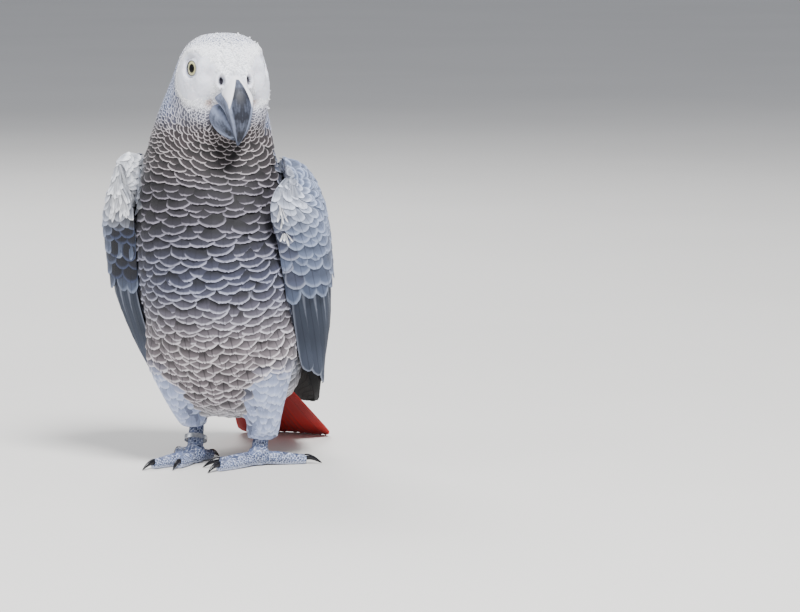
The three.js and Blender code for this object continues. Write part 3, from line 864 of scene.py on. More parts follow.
def swing(tree, value, amount):
    """How far a mask stands from its middle, times this amount."""
    return times(tree, maths(tree, "SUBTRACT", value, 0.5), amount)


def ramp(tree, value, low, high, start=0.0, end=1.0):
    settings = {"Value": value, "From Min": low, "From Max": high, "To Min": start, "To Max": end}
    return wire(tree, "ShaderNodeMapRange", settings, interpolation_type="SMOOTHSTEP").outputs["Result"]


def blend(tree, share, first, second, mode="MIX"):
    made = wire(tree, "ShaderNodeMix", {0: share, 6: first, 7: second}, data_type="RGBA", blend_type=mode)
    return made.outputs[2]


def grainy(tree, vector, scale, detail=3.0, rough=0.6, stretch=None):
    if stretch:
        vector = wire(tree, "ShaderNodeVectorMath", {0: vector, 1: stretch}, operation="MULTIPLY").outputs[0]
    inputs = {"Vector": vector, "Scale": scale, "Detail": detail, "Roughness": rough}
    return wire(tree, "ShaderNodeTexNoise", inputs).outputs["Fac"]


def stored(tree, name, output="Fac"):
    """A measure or colour that the mesh stores for each point."""
    return wire(tree, "ShaderNodeAttribute", attribute_name=name).outputs[output]


def own_place(tree):
    return wire(tree, "ShaderNodeTexCoord").outputs["Object"]


def rgba(colour):
    return (*colour[:3], 1.0)


def new_group(name, inputs, outputs):
    tree = bpy.data.node_groups.new(name, "ShaderNodeTree")
    for label, kind, value in inputs:
        socket = tree.interface.new_socket(label, in_out="INPUT", socket_type=f"NodeSocket{kind}")
        if value is not None:
            socket.default_value = value
    for label, kind in outputs:
        tree.interface.new_socket(label, in_out="OUTPUT", socket_type=f"NodeSocket{kind}")
    return tree, tree.nodes.new("NodeGroupInput").outputs, tree.nodes.new("NodeGroupOutput")


def placed_group(tree, name, build, **values):
    """Places the group of this name, built the first time, and returns its outputs."""
    made = tree.nodes.new("ShaderNodeGroup")
    made.node_tree = bpy.data.node_groups.get(name) or build(name)
    fill_sockets(tree, made, {key.replace("_", " ").title(): value for key, value in values.items()})
    return made.outputs


def vane_group(name):
    """A feather's colour and relief: shaft, barbs, a paler fringe, and painted shadow towards its root,
    where the feather above overlaps it.
    """
    inputs = [("Middle", "Color", None), ("Fringe", "Color", None), ("Fringe Width", "Float", 1.0),
              ("Shaft", "Float", 0.3), ("Barbs", "Float", 0.3), ("Root Shade", "Float", 0.6)]
    outputs = [("Color", "Color"), ("Height", "Float"), ("Rim", "Float")]
    tree, given, result = new_group(name, inputs, outputs)
    across, along, tone = wire(tree, "ShaderNodeSeparateXYZ", {0: stored(tree, "vane", "Vector")}).outputs
    off_shaft = maths(tree, "ABSOLUTE", across)
    # The barbs run out from the shaft at a slant.
    slant = maths(tree, "SUBTRACT", times(tree, along, 34.0), times(tree, off_shaft, 9.0))
    barbed = wire(tree, "ShaderNodeCombineXYZ", {0: across, 1: slant, 2: times(tree, tone, 40.0)}).outputs[0]
    strands = grainy(tree, barbed, 1.6, stretch=(0.35, 1.0, 1.0))
    patches = grainy(tree, barbed, 0.5, 1.0, 0.5, (1.0, 0.25, 1.0))
    edge = plus(tree, stored(tree, "rim"), swing(tree, strands, 0.7))
    inner, outer = times(tree, given["Fringe Width"], 0.15), times(tree, given["Fringe Width"], 2.1)
    fringe = maths(tree, "SUBTRACT", 1.0, ramp(tree, edge, inner, outer))
    colour = blend(tree, fringe, given["Middle"], given["Fringe"])
    shaft = times(tree, ramp(tree, off_shaft, 0.0, 0.09, 1.0, 0.0), given["Shaft"])
    colour = blend(tree, shaft, colour, blend(tree, 1.0, colour, (0.22, 0.22, 0.24, 1), "MULTIPLY"))
    # Painted shadow: towards its root, where the feather above overlaps it, each feather is darkened.
    root = times(tree, ramp(tree, along, 0.6, 0.9, 1.0, 0.0), given["Root Shade"])
    light = plus(tree, swing(tree, strands, given["Barbs"]), 1.0)
    light = plus(tree, light, swing(tree, patches, 0.25))
    light = plus(tree, light, swing(tree, tone, 0.22))
    light = times(tree, light, maths(tree, "SUBTRACT", 1.0, root))
    shade = wire(tree, "ShaderNodeCombineXYZ", {0: light, 1: light, 2: light}).outputs[0]
    colour = blend(tree, 1.0, colour, shade, "MULTIPLY")
    waves = {"Vector": barbed, "Scale": 1.0, "Distortion": 0.6}
    lines = wire(tree, "ShaderNodeTexWave", waves, bands_direction="Y").outputs["Fac"]
    height = plus(tree, times(tree, lines, given["Barbs"]), times(tree, shaft, 1.5))
    fill_sockets(tree, result, {"Color": colour, "Height": height, "Rim": fringe})
    return tree


def horn_group(name):
    """Horn with growth lines down it, worn and powdered paler in places, with painted highlight stripes
    where the mesh's measure holds them, under a soft white cere.
    """
    inputs = [("Dark", "Color", None), ("Pale", "Color", None), ("Powder", "Float", 0.5),
              ("Line Scale", "Float", 1.0), ("Cere", "Color", (0.8, 0.8, 0.84, 1))]
    outputs = [("Color", "Color"), ("Height", "Float"), ("Wear", "Float")]
    tree, given, result = new_group(name, inputs, outputs)
    run = {0: stored(tree, "run", "Vector"), "Scale": given["Line Scale"]}
    run = wire(tree, "ShaderNodeVectorMath", run, operation="SCALE").outputs[0]
    streaks = grainy(tree, run, 6.0, 4.0, stretch=(3.2, 0.7, 1.0))
    rings = grainy(tree, run, 6.0, stretch=(0.5, 3.0, 1.0))
    patches = grainy(tree, run, 2.2, rough=0.55)
    # The measure holds real powder and painted highlight stripes.
    powder = times(tree, stored(tree, "powder"), given["Powder"])
    mixed = plus(tree, times(tree, streaks, 0.6), times(tree, patches, 0.6))
    mixed = ramp(tree, plus(tree, mixed, times(tree, powder, 0.6)), 0.5, 1.25)
    soft = ramp(tree, stored(tree, "cere"), -0.15, 0.25)
    colour = blend(tree, mixed, given["Dark"], given["Pale"])
    height = plus(tree, times(tree, rings, 0.25), times(tree, streaks, 0.5))
    fill_sockets(tree, result, {"Color": blend(tree, soft, colour, given["Cere"]), "Height": height,
                                "Wear": maths(tree, "MAXIMUM", mixed, soft)})
    return tree


# ---------------------------------------------------------------- materials
def new_material(name, **settings):
    """A material whose shader has these settings, such as specular_ior_level=0.1."""
    material = bpy.data.materials.new(name)
    material.use_nodes = True
    tree = material.node_tree
    shader = tree.nodes["Principled BSDF"]
    for key, value in settings.items():
        shader.inputs[key.replace("_", " ").title().replace("Ior", "IOR")].default_value = value
    return material, tree


def surfaced(tree, colour, roughness=None, height=None, strength=0.0, distance=0.0):
    """Links a colour, a roughness and a relief to the material's shader."""
    shader = tree.nodes["Principled BSDF"]
    tree.links.new(colour, shader.inputs["Base Color"])
    if roughness is not None:
        tree.links.new(roughness, shader.inputs["Roughness"])
    if height is not None:
        bump = wire(tree, "ShaderNodeBump", {"Height": height, "Strength": strength, "Distance": distance})
        tree.links.new(bump.outputs["Normal"], shader.inputs["Normal"])


# root_shade is how strongly painted shadow darkens each feather towards its root
def feather_material(name, shaft, barbs, root_shade, roughness, gloss=0.35):
    found = bpy.data.materials.get(name)
    if found:
        return found
    material, tree = new_material(name, specular_ior_level=gloss, sheen_weight=0.2 * gloss,
                                  sheen_roughness=0.5)
    middle_shade, fringe_shade = stored(tree, "middle", "Color"), stored(tree, "fringe", "Color")
    vane = placed_group(tree, "Vane Pattern", vane_group, middle=middle_shade, fringe=fringe_shade,
                        shaft=shaft, barbs=barbs, root_shade=root_shade)
    duller = ramp(tree, vane["Rim"], 0.0, 1.0, roughness, roughness + 0.12)
    surfaced(tree, vane["Color"], duller, vane["Height"], 0.35, 0.2 * MM)
    return material


def skin_material():
    """Powdery skin: white and finely creased on the face, and painted dark under the feathers, as shade
    in the gaps between them.
    """
    material, tree = new_material("bare skin", subsurface_weight=0.08, subsurface_scale=1.0,
                                  subsurface_radius=(0.002, 0.001, 0.0008))
    colour = stored(tree, "under", "Color")
    where = own_place(tree)
    mottle = grainy(tree, where, 420.0, 4.0)
    creases = grainy(tree, where, 1500.0, rough=0.65)
    greyer = blend(tree, 1.0, colour, (0.80, 0.80, 0.86, 1), "MULTIPLY")
    colour = blend(tree, ramp(tree, mottle, 0.35, 0.7, 0.0, 0.35), colour, greyer)
    height = plus(tree, times(tree, mottle, 1.2), creases)
    surfaced(tree, colour, ramp(tree, mottle, 0.3, 0.7, 0.6, 0.8), height, 0.35, 0.4 * MM)
    return material


def horn_material(name, dark, pale, powder, line_scale, gloss):
    material, tree = new_material(name, specular_ior_level=0.35)
    horn = placed_group(tree, "Horn Grain", horn_group, dark=rgba(dark), pale=rgba(pale), powder=powder,
                        line_scale=line_scale)
    surfaced(tree, horn["Color"], ramp(tree, horn["Wear"], 0.0, 1.0, gloss, gloss + 0.3), horn["Height"],
             0.3, 0.3 * MM)
    return material


def foot_material():
    """Whitish skin between raised dark scales."""
    material, tree = new_material("scaly skin")
    where = own_place(tree)
    grain = grainy(tree, where, 1800.0)
    dust = grainy(tree, where, 260.0)
    dark = blend(tree, ramp(tree, stored(tree, "tone"), 0.0, 1.0), rgba(srgb(50, 60, 88)),
                 rgba(srgb(94, 106, 138)))
    dark = blend(tree, ramp(tree, dust, 0.5, 0.75, 0.0, 0.5), dark, rgba(srgb(176, 178, 192)))
    colour = blend(tree, ramp(tree, stored(tree, "scale"), 0.15, 0.55), rgba(srgb(188, 196, 220)), dark)
    surfaced(tree, colour, ramp(tree, grain, 0.3, 0.7, 0.45, 0.65), grain, 0.25, 0.3 * MM)
    return material


def eye_material(iris, pupil):
    """A wet eye: a black pupil in a pale iris with fine spokes and a darker rim."""
    material, tree = new_material("wet eye", roughness=0.12, specular_ior_level=0.1, coat_weight=0.1,
                                  coat_roughness=0.03)
    spokes = grainy(tree, stored(tree, "spoke", "Vector"), 9.0, rough=0.65)
    out = plus(tree, stored(tree, "off_axis"), swing(tree, spokes, 0.05))
    inner = blend(tree, ramp(tree, spokes, 0.35, 0.7), rgba(np.array(iris) * 0.72), rgba(iris))
    rimmed = blend(tree, ramp(tree, out, 0.82, 1.0), inner, rgba(srgb(52, 46, 34)))
    greyed = blend(tree, ramp(tree, out, pupil + 0.02, pupil + 0.16), rgba(srgb(120, 118, 92)), rimmed)
    around_pupil = ramp(tree, out, pupil - 0.02, pupil + 0.03)
    surfaced(tree, blend(tree, around_pupil, (0.004, 0.004, 0.005, 1), greyed))
    return material


def ring_material(metal):
    material, tree = new_material("satin metal", metallic=1.0)
    where = own_place(tree)
    brushed = grainy(tree, where, 900.0, stretch=(1.0, 1.0, 6.0))
    smear = grainy(tree, where, 240.0, 2.0, 0.5)
    tint = blend(tree, ramp(tree, smear, 0.4, 0.7), rgba(metal), rgba(np.array(metal) * 0.6))
    surfaced(tree, tint, ramp(tree, smear, 0.3, 0.7, 0.22, 0.42), brushed, 0.1, 0.1 * MM)
    return material


def floor_material(colour):
    material, tree = new_material("pale floor", roughness=0.85)
    cloudy = ramp(tree, grainy(tree, own_place(tree), 3.0, rough=0.5), 0.3, 0.7)
    surfaced(tree, blend(tree, cloudy, rgba(colour), rgba(np.array(colour) * 0.97)))
    return material


# ---------------------------------------------------------------- skin, with its face
NOSTRIL = (7.6, 18.4, -6.4)  # on the left side, in the head's frame
NOSTRIL_SIZE = (2.0, 3.4)  # half its width and height
# Low mounds and hollows of the face, on both sides: the middle in the head's frame, the size, the height.
FACE_FORMS = [
    ((17, 1, 9.5), (6, 9, 3), 1.1),  # brow
    ((19, -8, -9), (7, 6, 5), 0.5),  # cheek
    ((14.5, 11, -3), (4, 4.5, 3.6), -1.5),  # hollow between eye and cere
    ((7.6, 18.4, -6.9), (3.8, 4.5, 4.6), 2.3),  # cere round the nostril
    ((18, 7.6, 1), (4, 2.4, 7), 1.9),  # front rim of the eye's socket
    ((11, 10.5, -20), (5, 5, 5), -2.6),  # hollow at the gape
]
# painted shadow deep inside each nostril's pit
NOSTRIL_SHADOW = srgb(22, 18, 34)
CERE_SHADE = srgb(228, 229, 237)
LID_SHADE = srgb(62, 60, 66)
EYE_FORWARD = math.radians(16)  # how far forward of sideways the lids face
GAZE_FORWARD = math.radians(25)  # and how far forward the pupils look
IRIS_RADIUS = 4.6
LID_OPENING = 4.15  # half the width between the lids, in millimetres
LID_WIDE, LID_TALL = 1.12, 0.96  # how the lids' rings are stretched
LID_HEIGHT = math.sqrt(EYE_RADIUS**2 - (LID_OPENING * MM) ** 2)  # the lids' rims over the eye's middle
CORNEA = 0.5  # how far the eye bulges out between the lids, as a share of a ball's bulge


def eye_axis(side, forward):
    """Which way an eye looks, turned this far forward of sideways."""
    lateral = HEAD_LEFT * (SIDES[side] * math.cos(forward))
    return (lateral + HEAD_AHEAD * math.sin(forward) + HEAD_UP * 0.04).normalized()


def from_nostril(side, up):
    """How far from the nostril's middle: 1 at its rim."""
    return np.hypot((side - NOSTRIL[0]) / NOSTRIL_SIZE[0], (up - NOSTRIL[2]) / NOSTRIL_SIZE[1])


def shaped_face(points, outward):
    """Raises and sinks the forms of the face, and sinks each nostril inside a low rim."""
    left, ahead, up = head_frame(points)
    side = np.abs(left)
    lift = np.zeros(len(points))
    for middle_place, size, height in FACE_FORMS:
        gaps = [(value - at) / wide for value, at, wide in zip((side, ahead, up), middle_place, size)]
        lift += height * np.exp(-sum(gap**2 for gap in gaps))
    hollow = from_nostril(side, up)
    front = smooth(6, 10, ahead)
    lift -= front * 3.6 * (1 - smooth(0.6, 1.1, hollow))
    lift += front * 0.4 * np.exp(-((hollow - 1.4) / 0.35) ** 2)
    return points + outward * (lift * MM)[:, None]


def sunk_wings(points, wing):
    """The skin's points, with those of the wings sunk under the feathers' sheets, and deeper under the
    flight feathers."""
    sheets = {side: WingSheet(side) for side in SIDES.values()}
    points = points.copy()
    for i in np.flatnonzero(wing > 0.3):
        sheet = sheets[SIDES["left"] if points[i, 0] > 0 else SIDES["right"]]
        station, facing, above, beside = sheet.nearest(points[i])
        deep = float(np.interp(station, *SKIN_UNDER_WING)) * MM
        if -deep < above < 5 * MM and beside < 1.5 * MM:
            points[i] -= np.array(facing) * (above + deep)
    return points


def make_skin(coat):
    """One skin over all the flesh, sunk by the coat's depth, with the face's folds."""
    nodes = FLESH + [f"wing_{side}" for side in SIDES]
    mesh = remeshed("skin", nodes, coat.skin_grain, 14)
    refined(mesh, lambda middles: (bill_distance(middles) < 42) & (middles[:, 2] > place(0, 0, 190).z))
    near_eyes = [np.array(EYES[side]) for side in SIDES]
    nostrils = [np.array(head_place(side * NOSTRIL[0], *NOSTRIL[1:])) for side in SIDES.values()]

    def fine(middles):
        eyes = [np.linalg.norm(middles - spot, axis=1) < 14 * MM for spot in near_eyes]
        holes = [np.linalg.norm(middles - spot, axis=1) < 8 * MM for spot in nostrils]
        return np.any(eyes + holes, axis=0)
    refined(mesh, fine)
    points, outward = positions(mesh), normals(mesh)
    wing = wing_share(points)
    depth = coat_depth(points) * (1 - wing) + WING_COAT * wing
    points = sunk_wings(shaped_face(points - outward * depth[:, None], outward), wing)
    for side in SIDES:
        # Between the lids the skin drops below the eyeball, and round them it covers it.
        axis, centre = np.array(eye_axis(side, EYE_FORWARD)), np.array(EYES[side])
        high, wide = on_axis(points - centre, axis)
        ball = np.sqrt(np.maximum(EYE_RADIUS**2 - wide**2, 0))
        open_eye = wide < (LID_OPENING + 0.9) * MM
        limit = np.minimum(ball, LID_HEIGHT) - 0.7 * MM
        inside = (high > 0) & open_eye & (high > limit)
        points[inside] -= (high - limit)[inside][:, None] * axis
        cover = ball + 0.45 * MM
        low = (high > 0) & (high < cover) & (wide < EYE_RADIUS) & ~open_eye
        points[low] += (cover - high)[low][:, None] * axis
    left, ahead, up = head_frame(points)
    creases = np.array([noise.fractal(Vector(p) * 420, 0.6, 2.2, 3) for p in points])
    points += outward * (creases * face_share(points) * 0.16 * MM)[:, None]
    set_positions(mesh, points)
    # Under the feathers the skin is painted a darker copy of their colours, as painted shade in the gaps
    # between them, more so below the head.
    head = (1 - smooth(34, 52, bill_distance(points)))[:, None]
    shade = body_colours(points, outward)[0] * (0.4 + 0.4 * head)
    front = smooth(9, 12, ahead)
    cere = np.hypot((np.abs(left) - NOSTRIL[0]) / 7, (up - NOSTRIL[2] + 1) / 8)
    hole = from_nostril(np.abs(left), up)
    for share, colour in [
        (face_share(points), srgb(*coat.face_shade)),
        ((1 - smooth(0.8, 1.1, cere)) * front, CERE_SHADE),
        # painted shadow inside each nostril
        ((1 - smooth(0.5, 0.85, hole)) * front, NOSTRIL_SHADOW),
        # painted shade: under the wings the skin is a darker copy of the colours inside them
        (wing, wing_inside(points)[0] * 0.8),
    ]:
        shade = mix(shade, np.asarray(colour), share[:, None])
    paint(mesh, "under", shade)
    finish_piece(new_object("skin", mesh), skin_material(), nodes)


def make_lids(coat):
    """A fleshy lid ring round each eye, running out into the face."""
    face = Surface(bpy.data.objects["skin"].data)
    points, faces, shades = [], [], []
    around = 72
    radii = [LID_OPENING + step for step in (-0.1, 0.06, 0.26, 0.5, 0.85, 1.35, 2.0, 2.8, 3.8, 4.8)]
    rims = [0.0, 0.3, 0.48, 0.46, 0.3, 0.1, 0.1, 0.1, 0.1, 0.1]  # how far the lid stands over the eyeball
    pale = np.array(srgb(*coat.face_shade)) * 0.92
    for side in SIDES:
        axis, centre = eye_axis(side, EYE_FORWARD), EYES[side]
        over, up = crosswise(axis)
        start = len(points)
        for turn in turns(around):
            ray = over * math.cos(turn) * LID_WIDE + up * math.sin(turn) * LID_TALL
            for radius, rim in zip(radii, rims):
                base = centre + ray * (radius * MM)
                hit = face.tree.ray_cast(base + axis * 0.02, -axis)[0]
                skin_height = (hit - base).dot(axis) if hit else 0.0045
                share = float(smooth(LID_OPENING + 0.6, LID_OPENING + 3.8, radius))
                lid = math.sqrt(EYE_RADIUS**2 - (min(radius, LID_OPENING + 0.4) * MM) ** 2) + rim * MM
                crease = 0.09 * MM * math.sin(radius * 8 + 1.5 * math.sin(turn * 3))
                crease *= float(smooth(4.6, 5.4, radius))
                height = mix(lid + crease, skin_height + 0.05 * MM, share)
                if radius == radii[-1]:
                    height = skin_height - 0.3 * MM
                points.append(base + axis * height)
                dark = 1 - float(smooth(LID_OPENING + 0.1, LID_OPENING + 0.65, radius))
                shades.append(mix(pale, np.array(LID_SHADE), dark))
        for k in range(around):
            for index in range(len(radii) - 1):
                a = start + k * len(radii) + index
                b = start + (k + 1) % around * len(radii) + index
                faces.append((a, b, b + 1, a + 1))
    mesh = mesh_from("lids", points, faces)
    smooth_shaded(mesh)
    paint(mesh, "under", np.array(shades))
    finish_piece(new_object("lids", mesh), bpy.data.materials["bare skin"])


# ---------------------------------------------------------------- the body's coat
BARE_UNDER_WING = (3.2 * MM, 5 * MM)  # no feathers where, from the first height up, a wing is this near
WIDTH_TO_GAP = (1.35, 1.55)  # a feather's width as a share of the gap to the next root across
LENGTH_TO_GAP = (2.9, 3.4)  # and its length as a share of the gap between rows
BRISTLES = 0.06  # the share of the smallest head feathers that are narrow and stand up


def chosen_roots(points, order, headings, outward, along, across):
    """Picks roots in the order of the lie, none nearer another than the spacing allows."""
    cell = 4 * MM
    grid, kept = {}, []
    sides = np.cross(outward, headings)
    reach = np.ceil(np.maximum(along, across) / cell).astype(int)
    keys = np.floor(points / cell).astype(int)

    def crowded(i):
        for spot in itertools.product(*(range(key - reach[i], key + reach[i] + 1) for key in keys[i])):
            for j in grid.get(spot, ()):
                gap = points[i] - points[j]
                near = (gap @ headings[i] / along[i]) ** 2 + (gap @ sides[i] / across[i]) ** 2
                if near + (gap @ outward[i] / across[i]) ** 2 < 1:
                    return True
        return False

    for i in np.argsort(order):
        if not crowded(i):
            grid.setdefault(tuple(keys[i]), []).append(i)
            kept.append(i)
    return np.array(kept)


def tree_of(mesh):
    """A search tree over a mesh, which is then deleted."""
    tree = BVHTree.FromPolygons(positions(mesh).tolist(), [tuple(face.vertices) for face in mesh.polygons])
    bpy.data.meshes.remove(mesh)
    return tree


def solid_tree(*nodes):
    """A search tree over these nodes' solids."""
    return tree_of(joined_nodes("solids", nodes))


def wing_share(points):
    """1 where a wing's solid is nearer than the body's, 0 where the body's is."""
    gaps = [np.array([tree.find_nearest(Vector(p))[3] for p in points])
            for tree in (solid_tree(*FLESH), solid_tree(*[f"wing_{side}" for side in SIDES]))]
    return smooth(-1, 1, (gaps[0] - gaps[1]) / MM)


def wing_inside(points):
    """Middle and fringe colours inside a wing's front edge: white at the right wrist, with painted shadow
    below it on the right wing and a soft darker grey below it on the left one.
    """
    high = smooth(138, 162, points[:, 2] / MM)[:, None]
    right = points[:, 0] < 0
    tops = shaded("lesser", [("wrist", np.where(right, 1.0, 0.35))], len(points))
    lows = shaded("edge_soft", [("shadowed_edge", np.where(right, 1.0, 0.0))], len(points))
    return [mix(low, top, high) for top, low in zip(tops, lows)]


def hidden_by_wing(points, outward, wings):
    """Places that a folded wing lies close over, but for the first few millimetres under its edge."""
    low, high = BARE_UNDER_WING
    result = []
    for point, normal in zip(points, outward):
        start, way = Vector(point), Vector(normal)
        struck = any(tree.ray_cast(start + way * low, way, high)[0] for tree in wings)
        result.append(struck)
    return np.array(result)


def make_body_coat(coat):
    """Feathers over head, neck, breast, back and thighs, rooted row by row from the bill to the tail."""
    chance = np.random.default_rng(coat.seed)
    skin = Surface(bpy.data.objects["skin"].data)
    wings = [solid_tree(f"wing_{side}", f"secondaries_{side}", f"primaries_{side}") for side in SIDES]

    def density(points):
        across, along = spacing(points)
        return 1 / (across * along) * (face_reach(points) > 0.88)
    points, outward = skin.scatter(coat.candidates, density, chance)
    bill = bill_cover()
    in_bill = np.array([inside_by(bill, Vector(p)) > 0.6 * MM for p in points])
    bare = face_reach(points) < chance.uniform(0.9, 1.06, len(points))
    keep = (wing_share(points) < 0.6) & ~in_bill & ~bare
    points, outward = points[keep], outward[keep]
    left, ahead, up = head_frame(points)
    nostril = np.hypot((np.abs(left) - NOSTRIL[0]) / 3.6, (up - NOSTRIL[2] + 0.6) / 4.2)
    keep = (nostril > 1.15) | (ahead < 8)
    keep &= ~hidden_by_wing(points, outward, wings) | (points[:, 2] > place(0, 0, 140).z)
    points, outward = points[keep], outward[keep]
    headings = body_heading(points, outward)
    across, along = spacing(points)
    roots = chosen_roots(points, body_order(points) + chance.normal(0, 0.12, len(points)) * along / MM,
                         headings, outward, along * coat.row_gap, across * 0.82)
    points, outward, headings = points[roots], outward[roots], headings[roots]
    across, along = across[roots], along[roots]
    middles, fringes = body_colours(points, outward)
    depth = coat_depth(points)
    leg = thigh_share(points)
    hem = 1 - 0.45 * leg * (1 - smooth(22, 36, points[:, 2] / MM))
    behind = smooth(-0.15, 0.15, outward[:, 1] - 0.1)
    head = bill_distance(points) < 40
    low = points[:, 2] + chance.normal(0, 6, len(points)) * MM < place(0, 0, 92).z
    # Each look: material name, shaft, barbs, painted shadow towards the roots, roughness.
    pieces = {
        "head_feathers": (head & (points[:, 2] > place(0, 0, 188).z),
                          ("head feathers", 0.0, 0.1, 0.25, 0.75)),
        "thigh_feathers": (leg > 0.5, ("thigh feathers", 0.15, 0.2, 0.3, 0.72)),
        "belly_feathers": ((behind < 0.5) & low, ("belly feathers", 0.75, 0.3, 0.7, 0.7)),
        "breast_feathers": (behind < 0.5, ("body feathers", 0.3, 0.22, 0.75, 0.68)),
        "back_feathers": (np.ones(len(points), bool), ("body feathers", 0.3, 0.22, 0.75, 0.68)),
    }
    taken = np.zeros(len(points), bool)
    for name, (member, look) in pieces.items():
        member = member & ~taken
        taken |= member
        gathered = Coat(name)
        kinds = [(SCALE, across < 2.6 * MM), (SMALL, (across >= 2.6 * MM) & (across < 6 * MM)),
                 (CONTOUR, across >= 6 * MM)]
        for vane, fits in kinds:
            chosen = np.flatnonzero(member & fits)
            if not len(chosen):
                continue
            count = len(chosen)
            bristly = chance.random(count) < BRISTLES
            bristly &= (name == "head_feathers") & (across[chosen] < 2.2 * MM)
            widths = across[chosen] * chance.uniform(*WIDTH_TO_GAP, count) * np.where(bristly, 0.35, 1)
            lengths = along[chosen] * chance.uniform(*LENGTH_TO_GAP, count)
            lengths = np.maximum(lengths, widths * 0.75) * hem[chosen]
            lifts = chance.uniform(0.8, 1.3, count) * coat.relief
            lifts = np.where(bristly, 5 * lifts, lifts)
            yaws = chance.normal(0, 0.1, count)
            fray = np.interp(points[chosen, 2] / MM, [60, 120], [0.03, 0.012]) * lengths
            frays = chance.normal(0, 1, (count, len(vane.columns))) * fray[:, None]
            grids = []
            for k, i in enumerate(chosen):
                heading = Matrix.Rotation(yaws[k], 3, Vector(outward[i])) @ Vector(headings[i])
                heights = depth[i] * (-0.25 + (1.3 * lifts[k]) * vane.rows**1.15)
                grids.append(lay(skin, Vector(points[i]), heading, lengths[k], widths[k], vane, heights,
                                 camber=0.035 * widths[k], ragged=frays[k]))
            places = head_map(points[chosen]) if name == "head_feathers" else round_map(points[chosen])
            gathered.add(vane, grids, (middles[chosen], fringes[chosen]), chance.random(count),
                         small_patches(places, widths), widths, along[chosen] * 0.17)
        gathered.make(feather_material(*look))


# ---------------------------------------------------------------- wings' coats
SECONDARIES = 17
PRIMARIES = 7


def wing_shades(stations, across, side):
    """Middle and fringe colours over a wing's coverts: white at the right wrist, painted shadow down the
    right wing's front edge below that and a soft darker grey down the left one's, and greyer and darker down
    the wing."""
    right = side == "right"
    wrist = (1 - smooth(0.2, 2.1, stations + 6 * np.maximum(across - 0.2, 0))) * (1.0 if right else 0.4)
    inner = 1 - (smooth(0.13, 0.21, across) if right else smooth(0.03, 0.06, across))
    blends = [
        ("median", smooth(1.8, 4.0, stations)),
        ("greater", smooth(3.2, 5.5, stations)),
        # painted shadow down the right wing's front edge; a soft darker grey down the left one's
        ("shadowed_edge" if right else "edge_soft", inner * smooth(0.4, 2.0, stations)),
        ("wrist", wrist),
    ]
    return shaded("lesser", blends, len(stations))


def wing_rows(sheet, chance, last, widest=((0, 1), (1.01, 1.01))):
    """Roots of small coverts, in rows down the wing to the last station, and across it to the widest
    share there: stations, across, and how far apart they stand across and along, in millimetres."""
    rows = []
    run, parity = -1.45, 0
    while run < last:
        station = math.sin(run) if run < 0 else run
        grow = min(max((station + 0.9) / 4.6, 0), 1)
        across_gap, along_gap = 4.2 + 4.8 * grow, 3.2 + 2.6 * grow
        arc = float(sheet.read(sheet.reach, np.array([max(station, 0.05)]), np.array([0.5]))[0, 1]) / MM
        if run < 0:
            arc *= math.cos(run)
        count = max(int(arc / across_gap), 4)
        for k in range(count + 1):
            share = -0.02 + 1.02 * (k + 0.5 * parity) / count
            if share < np.interp(station, *widest):
                rows.append((station, share, across_gap, along_gap))
        run += along_gap / (12 if run < 0 else 15.5)
        parity = 1 - parity
    rows = np.array(rows)
    rows[:, 0] = np.maximum(rows[:, 0] + chance.normal(0, 0.035, len(rows)), -0.99)
    rows[:, 1] += chance.normal(0, 0.006, len(rows))
    return rows


def lay_on_wing(gathered, sheet, vane, chance, stations, across, lengths, widths, heights, shades, fringe,
                patches=None, **lie):
    """Adds feathers rooted at these places of a wing, with fringes this many millimetres wide."""
    grids = sheet.feathers(vane, stations, across, lengths, widths, heights, **lie)
    if patches is None:
        patches = small_patches(sheet.map(stations, across), widths)
    gathered.add(vane, grids, shades, chance.random(len(grids)), patches, widths, fringe * MM)


def small_coverts(gathered, sheet, rows, shades, chance):
    """Adds the lesser and median coverts of these rows."""
    stations, across, across_gap, along_gap = rows.T
    widths = across_gap * MM * chance.uniform(1.25, 1.45, len(rows))
    lengths = along_gap * MM * chance.uniform(2.7, 3.2, len(rows))
    tips = chance.uniform(0.0, 0.25, len(rows)) * MM
    lay_on_wing(gathered, sheet, CONTOUR, chance, stations, across, lengths, widths, (-1.0 * MM, tips),
                shades, 0.7, camber=0.02)


def add_wisps(gathered, sheet, chance, count, stations, across, length, width):
    """Adds loose narrow white feathers of this length and width in millimetres, rooted at random
    between these stations and shares across."""
    stations = chance.uniform(*stations, count)
    across = chance.uniform(*across, count)
    widths = chance.uniform(0.7, 1.3, count) * width * MM
    lengths = chance.uniform(0.7, 1.2, count) * length * MM
    tips = chance.uniform(0.5, 1.3, count) * MM
    drift = chance.normal(0, 0.02, count)
    lay_on_wing(gathered, sheet, COVERT, chance, stations, across, lengths, widths, (-0.3 * MM, tips),
                shaded("wrist", [], count), 0.5, drift=drift)


def long_coverts(gathered, sheet, chance, root, count, length, width, name):
    """Adds one row of longer coverts across the wing, of this length and width in millimetres."""
    across = np.linspace(0.0, 0.97, count) + chance.normal(0, 0.006, count)
    stations = root + chance.normal(0, 0.05, count) - 0.3 * (across - 0.4)
    lengths = length * MM * chance.uniform(0.93, 1.07, count)
    tips = chance.uniform(-0.1, 0.15, count) * MM
    lay_on_wing(gathered, sheet, COVERT, chance, stations, across, lengths, np.full(count, width * MM),
                (-1.5 * MM, tips), shaded(name, [], count), 0.8)


def scapulars(gathered, sheet, chance, side):
    """Adds the feathers that lie from the back over the wing's rear edge, in two rows."""
    stations, across = np.meshgrid(np.linspace(0.3, 4.6, 9), [0.99, 0.93])
    stations = (stations + np.array([[0.0], [0.25]])).ravel() + chance.normal(0, 0.05, stations.size)
    across = across.ravel()
    widths = np.interp(stations, [0, 4.6], [9, 13]) * MM
    lengths = np.interp(stations, [0, 4.6], [17, 32]) * MM
    lay_on_wing(gathered, sheet, COVERT, chance, stations, across, lengths, widths, (-1.0 * MM, 0.9 * MM),
                wing_shades(stations, across, side), 0.8, drift=-0.09)


